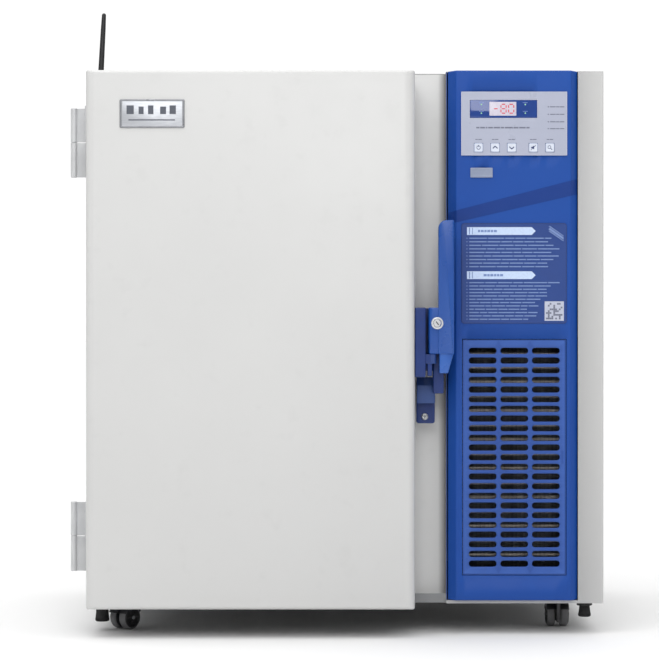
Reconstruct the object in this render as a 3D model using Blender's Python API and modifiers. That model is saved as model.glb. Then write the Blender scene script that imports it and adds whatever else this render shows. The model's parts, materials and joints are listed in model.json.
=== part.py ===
"""Under-bench ultra-low-temperature laboratory freezer, as an assembly of separate pieces.

Metres, +Z up, the front faces -Y and +X is to the right of someone who stands in front.
The origin is on the floor, under the middle of the whole object's outline.
"""
import math

import bmesh
import bpy
from mathutils import Matrix, Vector

# ---- Driving dimensions -------------------------------------------------------------------
CABINET_W = 0.900            # outside width of the cabinet
CABINET_TOP = 0.985          # height of the top above the floor
CABINET_BOTTOM = 0.0545      # height of the cabinet's underside above the floor
DOOR_TO_BACK = 0.730         # from the door's front face to the back panel's outer face
STRIP_W = 0.0599             # chamber front that shows between the door and the blue panel
DOOR_BOTTOM = 0.050
DOOR_UNDER_TOP = 0.004       # from the cabinet's top down to the door's top
DOOR_T = 0.085               # door thickness without its gasket
DOOR_EDGE_R = 0.010          # radius of the door's upright front edges
GASKET_T = 0.0177
BADGE_T = 0.002              # plain plate near the door's upper left-hand corner
BADGE_W = 0.1116
BADGE_H = 0.0490
BADGE_FROM_LEFT = 0.0595
BADGE_UNDER_TOP = 0.0520
SHEET = 0.0012               # steel sheet of the cabinet and the door
GAP = 0.0003                 # between pieces that rest on each other
RUN = 0.0002                 # radial clearance round a pin
BACK_STANDOFF = 0.020        # how far the rear spacers hold the back off a wall
SHELL_SETBACK = 0.063        # right-hand shell's front edge behind the door's front face

WALL_LEFT = 0.0745           # insulated walls round the cold chamber, with their sheets
WALL_RIGHT = 0.1315
WALL_BELOW = 0.1600
WALL_ABOVE = 0.1653
WALL_BACK = 0.2055
PANEL_SIDE_GAP = 0.0019      # between the partition and the blue panel's left edge
LINER_T = 0.0015
SHELF_T = 0.0015
INNER_DOOR_T = 0.018

PANEL_W = 0.2267             # blue front panel of the machine compartment
PANEL_TO_RIGHT = 0.0454      # from the panel to the cabinet's right side
PANEL_BOTTOM = 0.0600
PANEL_EDGE = 0.067           # setbacks behind the door's front face: the panel's side edges,
PANEL_UPPER = 0.050          # its upper face
PANEL_LOWER = 0.056          # and its lower face
PANEL_CHAMFER_W = 0.0128
PANEL_T = 0.0025
PANEL_RETURN = 0.0035
BAND_UNDER_TOP_LEFT = 0.2485     # from the panel's top down to the slanted step across it
BAND_UNDER_TOP_RIGHT = 0.1898
BAND_DROP_LEFT = 0.0195
BAND_DROP_RIGHT = 0.0256

OVERLAY_H = 0.1110           # membrane overlay with the display and the keys
OVERLAY_UNDER_TOP = 0.0375
OVERLAY_FROM_LEFT = 0.0221   # from the panel's left edge
OVERLAY_FROM_RIGHT = 0.0202
OVERLAY_T = 0.0020
WINDOW_H = 0.0317
WINDOW_FROM_LEFT = 0.0148    # from the overlay's edges
WINDOW_FROM_RIGHT = 0.0521
WINDOW_FROM_TOP = 0.0143
KEY_SIZE = 0.0153
KEY_FROM_BOTTOM = 0.0135     # from the overlay's bottom to the keys' middles
KEY_FROM_SIDE = 0.0301       # from the overlay's sides to the outer keys' middles
KEY_GROUP_GAP = 1.3          # pitches between the third key and the fourth
KEY_PROUD = 0.0008
KEY_TRAVEL = 0.0006
KEY_NAMES = ["key_set", "key_up", "key_down", "key_mute", "key_view"]
PORT_W = 0.0387              # flap over the data port
PORT_H = 0.0170
PORT_FROM_LEFT = 0.0381
PORT_UNDER_TOP = 0.1700
PORT_T = 0.0022
NOTICE_H = 0.1751            # plate of operating notes
NOTICE_FROM_LEFT = 0.0230
NOTICE_FROM_RIGHT = 0.0202
NOTICE_UNDER_TOP = 0.2663
NOTICE_T = 0.0012

GRILLE_UNDER_NOTICE = 0.0269     # from the notes down to the opening for the air grille
GRILLE_FROM_LEFT = 0.0242
GRILLE_FROM_RIGHT = 0.0205
GRILLE_BOTTOM = 0.1040
GRILLE_T = 0.0030
GRILLE_CLEAR = 0.0012
SLOT_COLUMNS = 3
SLOT_PITCH = 0.01689
SLOT_H = 0.0108
SLOT_BAR = 0.0066            # bar between two columns of slots
SLOT_FROM_SIDE = 0.0116      # from the opening's sides to the outer slots
SLOT_FROM_END = 0.0204       # from the opening's ends to the middles of the outer rows

HINGE_OUT = 0.0275           # door hinge axis outside the cabinet's left side
HINGE_SETBACK = 0.075        # and behind the door's front face
HINGE_BARREL_R = 0.0058
HINGE_PIN_R = 0.0030
HINGE_LEAF_T = 0.0030
HINGE_LOWER_LEAF = 0.0615    # heights of the leaf on the cabinet and of the one on the door
HINGE_UPPER_LEAF = 0.0600
HINGE_FROM_END = 0.0600      # from the door's ends to the hinges

HANDLE_UNDER_TOP = 0.4940    # from the cabinet's top down to the handle's underside
GRIP_FROM_DOOR = 0.0405      # handle, from the door's right-hand edge
GRIP_W = 0.0270
GRIP_H = 0.2310
GRIP_FRONT = 0.0060          # setbacks behind the door's front face
GRIP_BACK = 0.0300
LEVER_FROM_DOOR = 0.0235
LEVER_W = 0.0370
LEVER_H = 0.0800
LEVER_BACK = 0.0550
LEVER_PIVOT_R = 0.0070
LOCK_R = 0.0105
LOCK_FROM_DOOR = 0.0383
LOCK_RISE = 0.0530           # heights above the handle's underside and drops below it
PIVOT_PIN_RISE = 0.0370
ARM_DROP = 0.0170
TONGUE_DROP = 0.0690
BRACKET_DROP = 0.0400
BRACKET_W = 0.0180
STRIKE_FROM_DOOR = 0.0045
STRIKE_W = 0.0323
STRIKE_H = 0.0806
STRIKE_DROP = 0.0414

CASTER_WHEEL_R = 0.0210
CASTER_W = 0.0440
CASTER_TRAIL = 0.0220
CASTER_AXLE_R = 0.0040
CASTER_FROM_SIDE = 0.0700    # swivel axes from the cabinet's sides, its front strip and its back
CASTER_FROM_STRIP = 0.0570
CASTER_FROM_BACK = 0.0700
CASTER_TURNS = {"front_left": 140.0, "front_right": 0.0, "rear_left": 15.0, "rear_right": -20.0}
FOOT_FROM_LEFT = 0.0170
FOOT_FROM_RIGHT = 0.0295
FOOT_BEHIND_STRIP = 0.0220
FOOT_BEHIND_SHELL = 0.0370
FOOT_PADS = {"left": (0.0155, 0.0125), "right": (0.0270, 0.0112)}    # underside and radius of the pad
ANTENNA_SETBACK = 0.470
ANTENNA_OUT = 0.0262
ANTENNA_UNDER_TOP = 0.0500
ANTENNA_H = 0.2100
ANTENNA_LEAN = math.radians(3.0)

# ---- Planes worked out from the driving dimensions ---------------------------------------------
OUTLINE_W = CABINET_W + HINGE_OUT + HINGE_BARREL_R
LEFT = -OUTLINE_W / 2 + HINGE_OUT + HINGE_BARREL_R
RIGHT = LEFT + CABINET_W
FRONT = -(BADGE_T + DOOR_TO_BACK + BACK_STANDOFF) / 2 + BADGE_T    # the door's front face
BACK = FRONT + DOOR_TO_BACK
SHELL_FRONT = FRONT + SHELL_SETBACK
STRIP_FRONT = FRONT + DOOR_T + GASKET_T + GAP
DOOR_BACK = FRONT + DOOR_T
PANEL_LEFT = RIGHT - PANEL_TO_RIGHT - PANEL_W
PANEL_BACK = FRONT + PANEL_EDGE + PANEL_RETURN
PARTITION = PANEL_LEFT - PANEL_SIDE_GAP
DOOR_RIGHT = PANEL_LEFT - STRIP_W
DOOR_TOP = CABINET_TOP - DOOR_UNDER_TOP
BASE_T = PANEL_BOTTOM - CABINET_BOTTOM - GAP
BASE_TOP = CABINET_BOTTOM + BASE_T
CHAMBER_LEFT = LEFT + WALL_LEFT
CHAMBER_RIGHT = PARTITION - WALL_RIGHT
CHAMBER_BOTTOM = BASE_TOP + WALL_BELOW
CHAMBER_TOP = CABINET_TOP - WALL_ABOVE
LINER_FRONT = STRIP_FRONT + SHEET + GAP
LINER_BACK = BACK - WALL_BACK
OVERLAY_W = PANEL_W - OVERLAY_FROM_LEFT - OVERLAY_FROM_RIGHT
OVERLAY_BOTTOM = CABINET_TOP - OVERLAY_UNDER_TOP - OVERLAY_H
WINDOW_W = OVERLAY_W - WINDOW_FROM_LEFT - WINDOW_FROM_RIGHT
WINDOW_BOTTOM = OVERLAY_BOTTOM + OVERLAY_H - WINDOW_FROM_TOP - WINDOW_H
KEY_Z = OVERLAY_BOTTOM + KEY_FROM_BOTTOM
KEY_PITCH = (OVERLAY_W - 2 * KEY_FROM_SIDE) / (len(KEY_NAMES) - 2 + KEY_GROUP_GAP)
PORT_BOTTOM = CABINET_TOP - PORT_UNDER_TOP - PORT_H
NOTICE_W = PANEL_W - NOTICE_FROM_LEFT - NOTICE_FROM_RIGHT
NOTICE_BOTTOM = CABINET_TOP - NOTICE_UNDER_TOP - NOTICE_H
GRILLE_W = PANEL_W - GRILLE_FROM_LEFT - GRILLE_FROM_RIGHT
GRILLE_H = NOTICE_BOTTOM - GRILLE_UNDER_NOTICE - GRILLE_BOTTOM
HANDLE_Z = CABINET_TOP - HANDLE_UNDER_TOP
GRIP_TOP = HANDLE_Z + GRIP_H
LEVER_TOP = HANDLE_Z + LEVER_H
LOCK_Z = HANDLE_Z + LOCK_RISE
STRIKE_TOP = HANDLE_Z - STRIKE_DROP
STRIKE_BOTTOM = STRIKE_TOP - STRIKE_H
CASTER_SPOTS = {
    spot: (LEFT + CASTER_FROM_SIDE if spot.endswith("left") else RIGHT - CASTER_FROM_SIDE,
           STRIP_FRONT + CASTER_FROM_STRIP if spot.startswith("front") else BACK - CASTER_FROM_BACK)
    for spot in CASTER_TURNS
}
FOOT_SPOTS = {
    "left": (LEFT + FOOT_FROM_LEFT, STRIP_FRONT + FOOT_BEHIND_STRIP),
    "right": (RIGHT - FOOT_FROM_RIGHT, SHELL_FRONT + FOOT_BEHIND_SHELL),
}
HINGE_X = LEFT - HINGE_OUT
HINGE_Y = FRONT + HINGE_SETBACK


# ---- Scene, materials and shape helpers --------------------------------------------------
def clear_scene():
    for old in list(bpy.data.objects):
        bpy.data.objects.remove(old, do_unlink=True)


def new_collection(name):
    collection = bpy.data.collections.new(name)
    bpy.context.scene.collection.children.link(collection)
    return collection


clear_scene()
PARTS = new_collection("laboratory_freezer")
CUTTERS = new_collection("cutters")


def material(name, colour, roughness, metallic=0.0):
    made = bpy.data.materials.new(name)
    made.use_nodes = True
    shader = made.node_tree.nodes["Principled BSDF"]
    shader.inputs["Base Color"].default_value = (*colour, 1.0)
    shader.inputs["Roughness"].default_value = roughness
    shader.inputs["Metallic"].default_value = metallic
    return made


WHITE_PAINT = material("white_paint", (0.78, 0.79, 0.80), 0.35)
BLUE_PLASTIC = material("blue_plastic", (0.035, 0.095, 0.36), 0.40)
BLUE_METAL = material("blue_metal", (0.030, 0.085, 0.33), 0.38)
OVERLAY_FILM = material("overlay_film", (0.62, 0.65, 0.74), 0.45)
WINDOW_TINT = material("window_tint", (0.02, 0.05, 0.22), 0.15)
KEY_WHITE = material("key_white", (0.85, 0.86, 0.90), 0.45)
NOTICE_BLUE = material("notice_blue", (0.05, 0.10, 0.32), 0.45)
GREY_COVER = material("grey_cover", (0.36, 0.39, 0.50), 0.50)
BOARD_GREEN = material("board_green", (0.03, 0.16, 0.07), 0.55)
STEEL = material("stainless_steel", (0.62, 0.62, 0.63), 0.30, 1.0)
CAST_GREY = material("cast_grey", (0.50, 0.51, 0.52), 0.45, 0.6)
BADGE_SILVER = material("badge_silver", (0.66, 0.67, 0.69), 0.30, 0.9)
FOAM = material("foam", (0.72, 0.62, 0.42), 0.95)
GASKET_GREY = material("gasket_grey", (0.45, 0.46, 0.47), 0.75)
INNER_WHITE = material("inner_white", (0.80, 0.81, 0.82), 0.50)
BLACK_PLASTIC = material("black_plastic", (0.025, 0.025, 0.028), 0.50)
TREAD_GREY = material("tread_grey", (0.11, 0.11, 0.115), 0.70)
FILTER_BLACK = material("filter_black", (0.03, 0.03, 0.035), 0.95)
ALUMINIUM = material("aluminium", (0.60, 0.61, 0.62), 0.40, 1.0)
COMPRESSOR_BLACK = material("compressor_black", (0.02, 0.02, 0.022), 0.40)
COPPER = material("copper", (0.72, 0.37, 0.22), 0.30, 1.0)


def place(obj, name, finish, origin=(0.0, 0.0, 0.0)):
    """Name the object, give it its finish and put its origin at a point without moving it."""
    obj.name = name
    obj.data.name = name
    shift = Vector(origin) - obj.location
    obj.data.transform(Matrix.Translation(-shift))
    obj.location = origin
    for owner in list(obj.users_collection):
        owner.objects.unlink(obj)
    if finish is None:
        CUTTERS.objects.link(obj)
        obj.hide_render = True
        obj.display_type = "WIRE"
    else:
        PARTS.objects.link(obj)
        obj.data.materials.clear()
        obj.data.materials.append(finish)
    return obj


def box(name, low, high, finish=None, origin=(0.0, 0.0, 0.0)):
    """A block between two corners."""
    centre = [(a + b) / 2 for a, b in zip(low, high)]
    size = [b - a for a, b in zip(low, high)]
    bpy.ops.mesh.primitive_cube_add(size=1.0, location=centre)
    obj = bpy.context.active_object
    obj.data.transform(Matrix.Diagonal((*size, 1.0)))
    return place(obj, name, finish, origin)


def rod(name, start, end, radius, finish=None, sides=24, origin=(0.0, 0.0, 0.0), twist=0.0):
    """A round bar from one point to another; twist turns its first corner, in radians."""
    start, end = Vector(start), Vector(end)
    along = end - start
    bpy.ops.mesh.primitive_cylinder_add(vertices=sides, radius=radius, depth=along.length)
    obj = bpy.context.active_object
    turn = Vector((0, 0, 1)).rotation_difference(along.normalized()).to_matrix().to_4x4()
    obj.data.transform(Matrix.Translation((start + end) / 2) @ turn @ Matrix.Rotation(twist, 4, "Z"))
    round_shade(obj)
    return place(obj, name, finish, origin)


def round_shade(obj):
    obj.data.shade_smooth()
    obj.data.set_sharp_from_angle(angle=math.radians(35))


def turned(name, profile, centre, finish, sides=24, axis="Z", twist=0.0, turn=None):
    """A turned piece: profile is a list of (radius, height) from top to bottom, both at radius 0
    or closed on itself. Its own axis is Z, laid along X or Y when asked, and its origin is centre."""
    mesh = bpy.data.meshes.new(name)
    work = bmesh.new()
    closed = profile[0][0] > 0
    points = [work.verts.new((r, 0.0, h)) for r, h in profile]
    for first, second in zip(points, points[1:]):
        work.edges.new((first, second))
    if closed:
        work.edges.new((points[-1], points[0]))
    work.to_mesh(mesh)
    work.free()
    obj = bpy.data.objects.new(name, mesh)
    bpy.context.scene.collection.objects.link(obj)
    screw = obj.modifiers.new("turn", "SCREW")
    screw.steps = sides
    screw.render_steps = sides
    screw.use_merge_vertices = True
    screw.merge_threshold = 0.00005
    solid = bpy.data.meshes.new_from_object(obj.evaluated_get(bpy.context.evaluated_depsgraph_get()))
    obj.modifiers.clear()
    obj.data = solid
    lay = {"Z": Matrix.Identity(4), "X": Matrix.Rotation(math.pi / 2, 4, "Y"),
           "Y": Matrix.Rotation(-math.pi / 2, 4, "X")}[axis]
    solid.transform(lay @ Matrix.Rotation(twist, 4, "Z"))
    if turn is not None:
        solid.transform(turn)
    solid.transform(Matrix.Translation(centre))
    round_shade(obj)
    return place(obj, name, finish, centre)


def plate(name, outlines, thickness, finish=None, matrix=None, origin=(0.0, 0.0, 0.0)):
    """A flat piece from closed outlines in its own X and Y, the first outside and the others
    holes in it, thickness/2 each way along its own Z, placed by a matrix."""
    curve = bpy.data.curves.new(name, "CURVE")
    curve.dimensions = "2D"
    curve.fill_mode = "BOTH"
    curve.extrude = thickness / 2
    for outline in outlines:
        spline = curve.splines.new("POLY")
        spline.points.add(len(outline) - 1)
        for point, (x, y) in zip(spline.points, outline):
            point.co = (x, y, 0.0, 1.0)
        spline.use_cyclic_u = True
    source = bpy.data.objects.new(name, curve)
    bpy.context.scene.collection.objects.link(source)
    obj = curve_to_mesh(source, name)
    if matrix is not None:
        obj.data.transform(matrix)
    return place(obj, name, finish, origin)


def curve_to_mesh(source, name):
    """Make a curve a closed mesh: its caps are welded and its faces point outwards."""
    bpy.context.view_layer.update()
    evaluated = source.evaluated_get(bpy.context.evaluated_depsgraph_get())
    mesh = bpy.data.meshes.new_from_object(evaluated)
    work = bmesh.new()
    work.from_mesh(mesh)
    bmesh.ops.remove_doubles(work, verts=work.verts, dist=0.00001)
    bmesh.ops.recalc_face_normals(work, faces=work.faces)
    work.to_mesh(mesh)
    work.free()
    obj = bpy.data.objects.new(name, mesh)
    obj.matrix_world = source.matrix_world
    bpy.context.scene.collection.objects.link(obj)
    bpy.data.objects.remove(source, do_unlink=True)
    return obj


def tube(name, points, radius, finish, origin=(0.0, 0.0, 0.0)):
    """A round tube, filled at its ends, along a list of points."""
    curve = bpy.data.curves.new(name, "CURVE")
    curve.dimensions = "3D"
    curve.bevel_depth = radius
    curve.bevel_resolution = 2
    curve.use_fill_caps = True
    spline = curve.splines.new("POLY")
    spline.points.add(len(points) - 1)
    for point, place_at in zip(spline.points, points):
        point.co = (*place_at, 1.0)
    source = bpy.data.objects.new(name, curve)
    bpy.context.scene.collection.objects.link(source)
    obj = curve_to_mesh(source, name)
    round_shade(obj)
    return place(obj, name, finish, origin)


def rounded_path(corners, radius, steps=4):
    """Points along straight runs between corners, with an arc at each corner in between."""
    corners = [Vector(c) for c in corners]
    path = [corners[0]]
    for before, corner, after in zip(corners, corners[1:], corners[2:]):
        back = (before - corner).normalized()
        on = (after - corner).normalized()
        reach = min(radius, (before - corner).length / 2, (after - corner).length / 2)
        start, end = corner + back * reach, corner + on * reach
        for i in range(steps + 1):
            t = i / steps
            path.append((1 - t) ** 2 * start + 2 * t * (1 - t) * corner + t * t * end)
    path.append(corners[-1])
    return path


def boolean(target, other, operation):
    mod = target.modifiers.new(other.name, "BOOLEAN")
    mod.operation = operation
    mod.solver = "EXACT"
    mod.object = other
    return target


def cut(target, *cutters):
    for cutter in cutters:
        boolean(target, cutter, "DIFFERENCE")
    return target


def join(target, *others):
    for other in others:
        boolean(target, other, "UNION")
    return target


def rectangle(x0, y0, x1, y1):
    return [(x0, y0), (x1, y0), (x1, y1), (x0, y1)]


def arc(cx, cy, radius, start, end, steps):
    """Points on an arc about (cx, cy), angles in degrees."""
    angles = [math.radians(start + (end - start) * i / steps) for i in range(steps + 1)]
    return [(cx + radius * math.cos(a), cy + radius * math.sin(a)) for a in angles]


def upright(y):
    """Lays a plate's own X and Y along world X and Z, at the depth y."""
    return Matrix.Translation((0, y, 0)) @ Matrix.Rotation(math.pi / 2, 4, "X")


def open_shell(name, low, high, finish, edge_radius, origin=(0.0, 0.0, 0.0)):
    """A sheet-metal box that is open at its back, with rounded upright front edges."""
    centre = [(a + b) / 2 for a, b in zip(low, high)]
    size = [b - a for a, b in zip(low, high)]
    bpy.ops.mesh.primitive_cube_add(size=1.0, location=centre)
    obj = bpy.context.active_object
    obj.data.transform(Matrix.Diagonal((*size, 1.0)))
    work = bmesh.new()
    work.from_mesh(obj.data)
    back = [f for f in work.faces if f.normal.y > 0.5]
    bmesh.ops.delete(work, geom=back, context="FACES_ONLY")
    front = [e for e in work.edges
             if all(v.co.y < 0 for v in e.verts) and abs(e.verts[0].co.z - e.verts[1].co.z) > 0.01]
    if edge_radius:
        bmesh.ops.bevel(work, geom=front, offset=edge_radius, segments=4, profile=0.5, affect="EDGES")
    work.to_mesh(obj.data)
    work.free()
    wall = obj.modifiers.new("wall", "SOLIDIFY")
    wall.thickness = SHEET
    wall.offset = -1.0
    wall.use_even_offset = True
    return place(obj, name, finish, origin)


def round_slab(name, low, high, radius, finish, origin=(0.0, 0.0, 0.0)):
    """A block with rounded upright front edges."""
    (x0, y0, z0), (x1, y1, z1) = low, high
    outline = [(x1, y1), (x0, y1)]
    outline += arc(x0 + radius, y0 + radius, radius, 180, 270, 4)
    outline += arc(x1 - radius, y0 + radius, radius, 270, 360, 4)
    return plate(name, [outline], z1 - z0, finish, Matrix.Translation((0, 0, (z0 + z1) / 2)), origin)


# ---- Cabinet --------------------------------------------------------------------------------
PANEL_RIGHT = PANEL_LEFT + PANEL_W
INSIDE_LEFT = LEFT + SHEET + GAP
INSIDE_RIGHT = RIGHT - SHEET - GAP
INSIDE_BACK = BACK - SHEET - GAP
SHELL_EDGE_R = 0.004


def plan_outline(middle_front):
    """Outline of a sheet that lies inside the side panels, seen from above: it follows the strip
    beside the door, the front panel and the right-hand shell's folded edge."""
    step = PARTITION - SHEET
    folded = SHELL_FRONT + SHEET + GAP
    return [(INSIDE_LEFT, STRIP_FRONT), (step, STRIP_FRONT), (step, middle_front),
            (PANEL_RIGHT + GAP, middle_front), (PANEL_RIGHT + GAP, folded),
            (INSIDE_RIGHT - SHELL_EDGE_R, folded), (INSIDE_RIGHT, folded + SHELL_EDGE_R),
            (INSIDE_RIGHT, INSIDE_BACK), (INSIDE_LEFT, INSIDE_BACK)]


def side_panels():
    box("side_panel_left", (LEFT, STRIP_FRONT, CABINET_BOTTOM), (LEFT + SHEET, BACK, CABINET_TOP),
        WHITE_PAINT)
    corner = (RIGHT - SHELL_EDGE_R, SHELL_FRONT + SHELL_EDGE_R)
    outline = [(PANEL_RIGHT + GAP, SHELL_FRONT)]
    outline += arc(*corner, SHELL_EDGE_R, 270, 360, 4)
    outline += [(RIGHT, BACK), (RIGHT - SHEET, BACK)]
    outline += arc(*corner, SHELL_EDGE_R - SHEET, 360, 270, 4)
    outline += [(PANEL_RIGHT + GAP, SHELL_FRONT + SHEET)]
    middle = Matrix.Translation((0, 0, (CABINET_BOTTOM + CABINET_TOP) / 2))
    plate("side_panel_right", [outline], CABINET_TOP - CABINET_BOTTOM, WHITE_PAINT, middle)


def top_panel():
    plate("top_panel", [plan_outline(PANEL_BACK + GAP)], SHEET, WHITE_PAINT,
          Matrix.Translation((0, 0, CABINET_TOP - SHEET / 2)))


def base_frame():
    base = plate("base_frame", [plan_outline(SHELL_FRONT)], BASE_T, WHITE_PAINT,
                 Matrix.Translation((0, 0, CABINET_BOTTOM + BASE_T / 2)))
    for name, spot in FOOT_SPOTS.items():
        cut(base, rod("base_hole_" + name, (*spot, CABINET_BOTTOM - 0.01), (*spot, BASE_TOP + 0.01),
                      FOOT_STUD_R + 2 * RUN))


FOOT_STUD_R = 0.0050
FOOT_STUD_TOP = BASE_TOP + 0.030
LOUVRE_ROWS = 12
LOUVRE_PITCH = 0.026
LOUVRE_H = 0.007
LOUVRE_FIRST = 0.160
INLET_X = PARTITION + 0.190      # middle of the mains inlet on the back
INLET_Z = 0.740
INLET_W = 0.030
INLET_H = 0.022


def back_panel():
    back = box("back_panel", (INSIDE_LEFT, BACK - SHEET, CABINET_BOTTOM),
               (INSIDE_RIGHT, BACK, CABINET_TOP), WHITE_PAINT)
    for side, x in (("left", LEFT + 0.12), ("right", RIGHT - 0.12)):
        spot = (x, CABINET_TOP - 0.12)
        join(back, rod("back_spacer_" + side, (spot[0], BACK - SHEET / 2, spot[1]),
                       (spot[0], BACK + BACK_STANDOFF, spot[1]), 0.014, sides=16))
    for row in range(LOUVRE_ROWS):
        z = LOUVRE_FIRST + row * LOUVRE_PITCH
        cut(back, box(f"louvre_{row}", (PARTITION + 0.04, BACK - 0.01, z - LOUVRE_H / 2),
                      (RIGHT - 0.04, BACK + 0.01, z + LOUVRE_H / 2)))
    cut(back, box("inlet_hole", (INLET_X - INLET_W / 2 - GAP, BACK - 0.01, INLET_Z - INLET_H / 2 - GAP),
                  (INLET_X + INLET_W / 2 + GAP, BACK + 0.01, INLET_Z + INLET_H / 2 + GAP)))


def chamber_front():
    top = CABINET_TOP - SHEET - GAP
    outer = rectangle(INSIDE_LEFT, BASE_TOP + GAP, PARTITION, top)
    hole = rectangle(CHAMBER_LEFT, CHAMBER_BOTTOM, CHAMBER_RIGHT, CHAMBER_TOP)
    front = plate("chamber_front", [outer, hole], SHEET, WHITE_PAINT, upright(STRIP_FRONT + SHEET / 2))
    join(front, box("partition_wall", (PARTITION - SHEET, PANEL_BACK + GAP, BASE_TOP + GAP),
                    (PARTITION, INSIDE_BACK, top)))


def insulation():
    foam = box("insulation", (INSIDE_LEFT, LINER_FRONT, BASE_TOP + GAP),
               (PARTITION - SHEET - GAP, INSIDE_BACK, CABINET_TOP - SHEET - GAP), FOAM)
    around = LINER_T + GAP
    cavity = box("liner_pocket", (CHAMBER_LEFT - around, LINER_FRONT - 0.02, CHAMBER_BOTTOM - around),
                 (CHAMBER_RIGHT + around, LINER_BACK + around, CHAMBER_TOP + around))
    spot = FOOT_SPOTS["left"]
    well = rod("foot_well", (*spot, BASE_TOP - 0.01), (*spot, FOOT_STUD_TOP + 0.005), FOOT_STUD_R + 0.001)
    cut(foam, cavity, well)


SHELF_NAMES = ["shelf_lower", "shelf_upper"]
RUNNER_OUT = 0.010
RUNNER_H = 0.006
SHELF_SETBACK = 0.045        # from the liner's mouth to a shelf's front edge


def shelf_height(index):
    return CHAMBER_BOTTOM + (CHAMBER_TOP - CHAMBER_BOTTOM) * (index + 1) / (len(SHELF_NAMES) + 1)


def chamber_liner():
    liner = open_liner()
    for index, name in enumerate(SHELF_NAMES):
        top = shelf_height(index) - GAP
        for side, x0, x1 in (("left", CHAMBER_LEFT - LINER_T / 2, CHAMBER_LEFT + RUNNER_OUT),
                             ("right", CHAMBER_RIGHT - RUNNER_OUT, CHAMBER_RIGHT + LINER_T / 2)):
            join(liner, box(f"runner_{name}_{side}", (x0, LINER_FRONT + SHELF_SETBACK, top - RUNNER_H),
                            (x1, LINER_BACK - 0.01, top)))


def open_liner():
    liner = box("inner_liner", (CHAMBER_LEFT - LINER_T, LINER_FRONT, CHAMBER_BOTTOM - LINER_T),
                (CHAMBER_RIGHT + LINER_T, LINER_BACK + LINER_T, CHAMBER_TOP + LINER_T), STEEL)
    return cut(liner, box("liner_inside", (CHAMBER_LEFT, LINER_FRONT - 0.02, CHAMBER_BOTTOM),
                          (CHAMBER_RIGHT, LINER_BACK, CHAMBER_TOP)))


def shelves():
    side_gap = 0.0015
    for index, name in enumerate(SHELF_NAMES):
        z = shelf_height(index)
        y0 = LINER_FRONT + SHELF_SETBACK
        x0, x1 = CHAMBER_LEFT + side_gap, CHAMBER_RIGHT - side_gap
        shelf = box(name, (x0, y0 - 0.003, z), (x1, LINER_BACK - side_gap, z + SHELF_T), STEEL)
        join(shelf, box(name + "_lip", (x0, y0 - 0.003, z - 0.012), (x1, y0 - 0.003 + SHELF_T, z + SHELF_T / 2)))


# ---- Front panel of the machine compartment ------------------------------------------------------
def front_panel():
    """A moulded cover: a sheet of three columns and three rows whose corners are moved to the
    chamfers and to the slanted step, folded back round its edge and given its wall."""
    bpy.ops.mesh.primitive_grid_add(x_subdivisions=3, y_subdivisions=3, size=1.0)
    obj = bpy.context.active_object
    columns = [0.0, PANEL_CHAMFER_W, PANEL_W - PANEL_CHAMFER_W, PANEL_W]
    for vert in obj.data.vertices:
        column = round((vert.co.x + 0.5) * 3)
        row = round((vert.co.y + 0.5) * 3)
        share = columns[column] / PANEL_W
        band_top = CABINET_TOP - BAND_UNDER_TOP_LEFT
        band_top += (BAND_UNDER_TOP_LEFT - BAND_UNDER_TOP_RIGHT) * share
        drop = BAND_DROP_LEFT + (BAND_DROP_RIGHT - BAND_DROP_LEFT) * share
        z = [PANEL_BOTTOM, band_top - drop, band_top, CABINET_TOP][row]
        face = PANEL_LOWER if row < 2 else PANEL_UPPER
        y = PANEL_EDGE if column in (0, 3) else face
        vert.co = (PANEL_LEFT + columns[column], FRONT + y, z)
    work = bmesh.new()
    work.from_mesh(obj.data)
    edge = [e for e in work.edges if e.is_boundary]
    folded = bmesh.ops.extrude_edge_only(work, edges=edge)["geom"]
    for vert in folded:
        if isinstance(vert, bmesh.types.BMVert):
            vert.co.y = PANEL_BACK
    bmesh.ops.recalc_face_normals(work, faces=work.faces)
    forward = sum(f.normal.y * f.calc_area() for f in work.faces)
    if forward > 0:
        bmesh.ops.reverse_faces(work, faces=work.faces)
    bmesh.ops.triangulate(work, faces=work.faces)
    work.to_mesh(obj.data)
    work.free()
    place(obj, "front_panel", BLUE_PLASTIC)
    wall = obj.modifiers.new("wall", "SOLIDIFY")
    wall.thickness = PANEL_T
    wall.offset = -1.0
    wall.use_even_offset = True
    y0, y1 = FRONT, PANEL_BACK + 0.02
    opening_x = PANEL_LEFT + GRILLE_FROM_LEFT
    cut(obj, box("grille_opening", (opening_x, y0, GRILLE_BOTTOM),
                 (opening_x + GRILLE_W, y1, GRILLE_BOTTOM + GRILLE_H)))
    cut(obj, box("panel_window_hole", *window_corners(0.0, y0, y1)))
    for name, x in key_places().items():
        cut(obj, box("panel_hole_" + name, *key_corners(x, KEY_CLEAR, y0, y1)))
    port_x = PANEL_LEFT + PORT_FROM_LEFT + PORT_W / 2
    port_z = PORT_BOTTOM + PORT_H / 2
    cut(obj, box("port_hole", (port_x - 0.012, y0, port_z - 0.005), (port_x + 0.012, y1, port_z + 0.005)))


KEY_CLEAR = 0.0004
OVERLAY_FRONT = FRONT + PANEL_UPPER - GAP - OVERLAY_T
PANEL_INSIDE = FRONT + PANEL_UPPER + PANEL_T


def key_places():
    """Middles of the keys from left to right: a group of three, a wider gap, then a pair."""
    first = PANEL_LEFT + OVERLAY_FROM_LEFT + KEY_FROM_SIDE
    steps = [0.0, 1.0, 2.0, 2.0 + KEY_GROUP_GAP, 3.0 + KEY_GROUP_GAP]
    return {name: first + step * KEY_PITCH for name, step in zip(KEY_NAMES, steps)}


def key_corners(x, clear, y0, y1):
    half = KEY_SIZE / 2 + clear
    return (x - half, y0, KEY_Z - half), (x + half, y1, KEY_Z + half)


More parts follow.
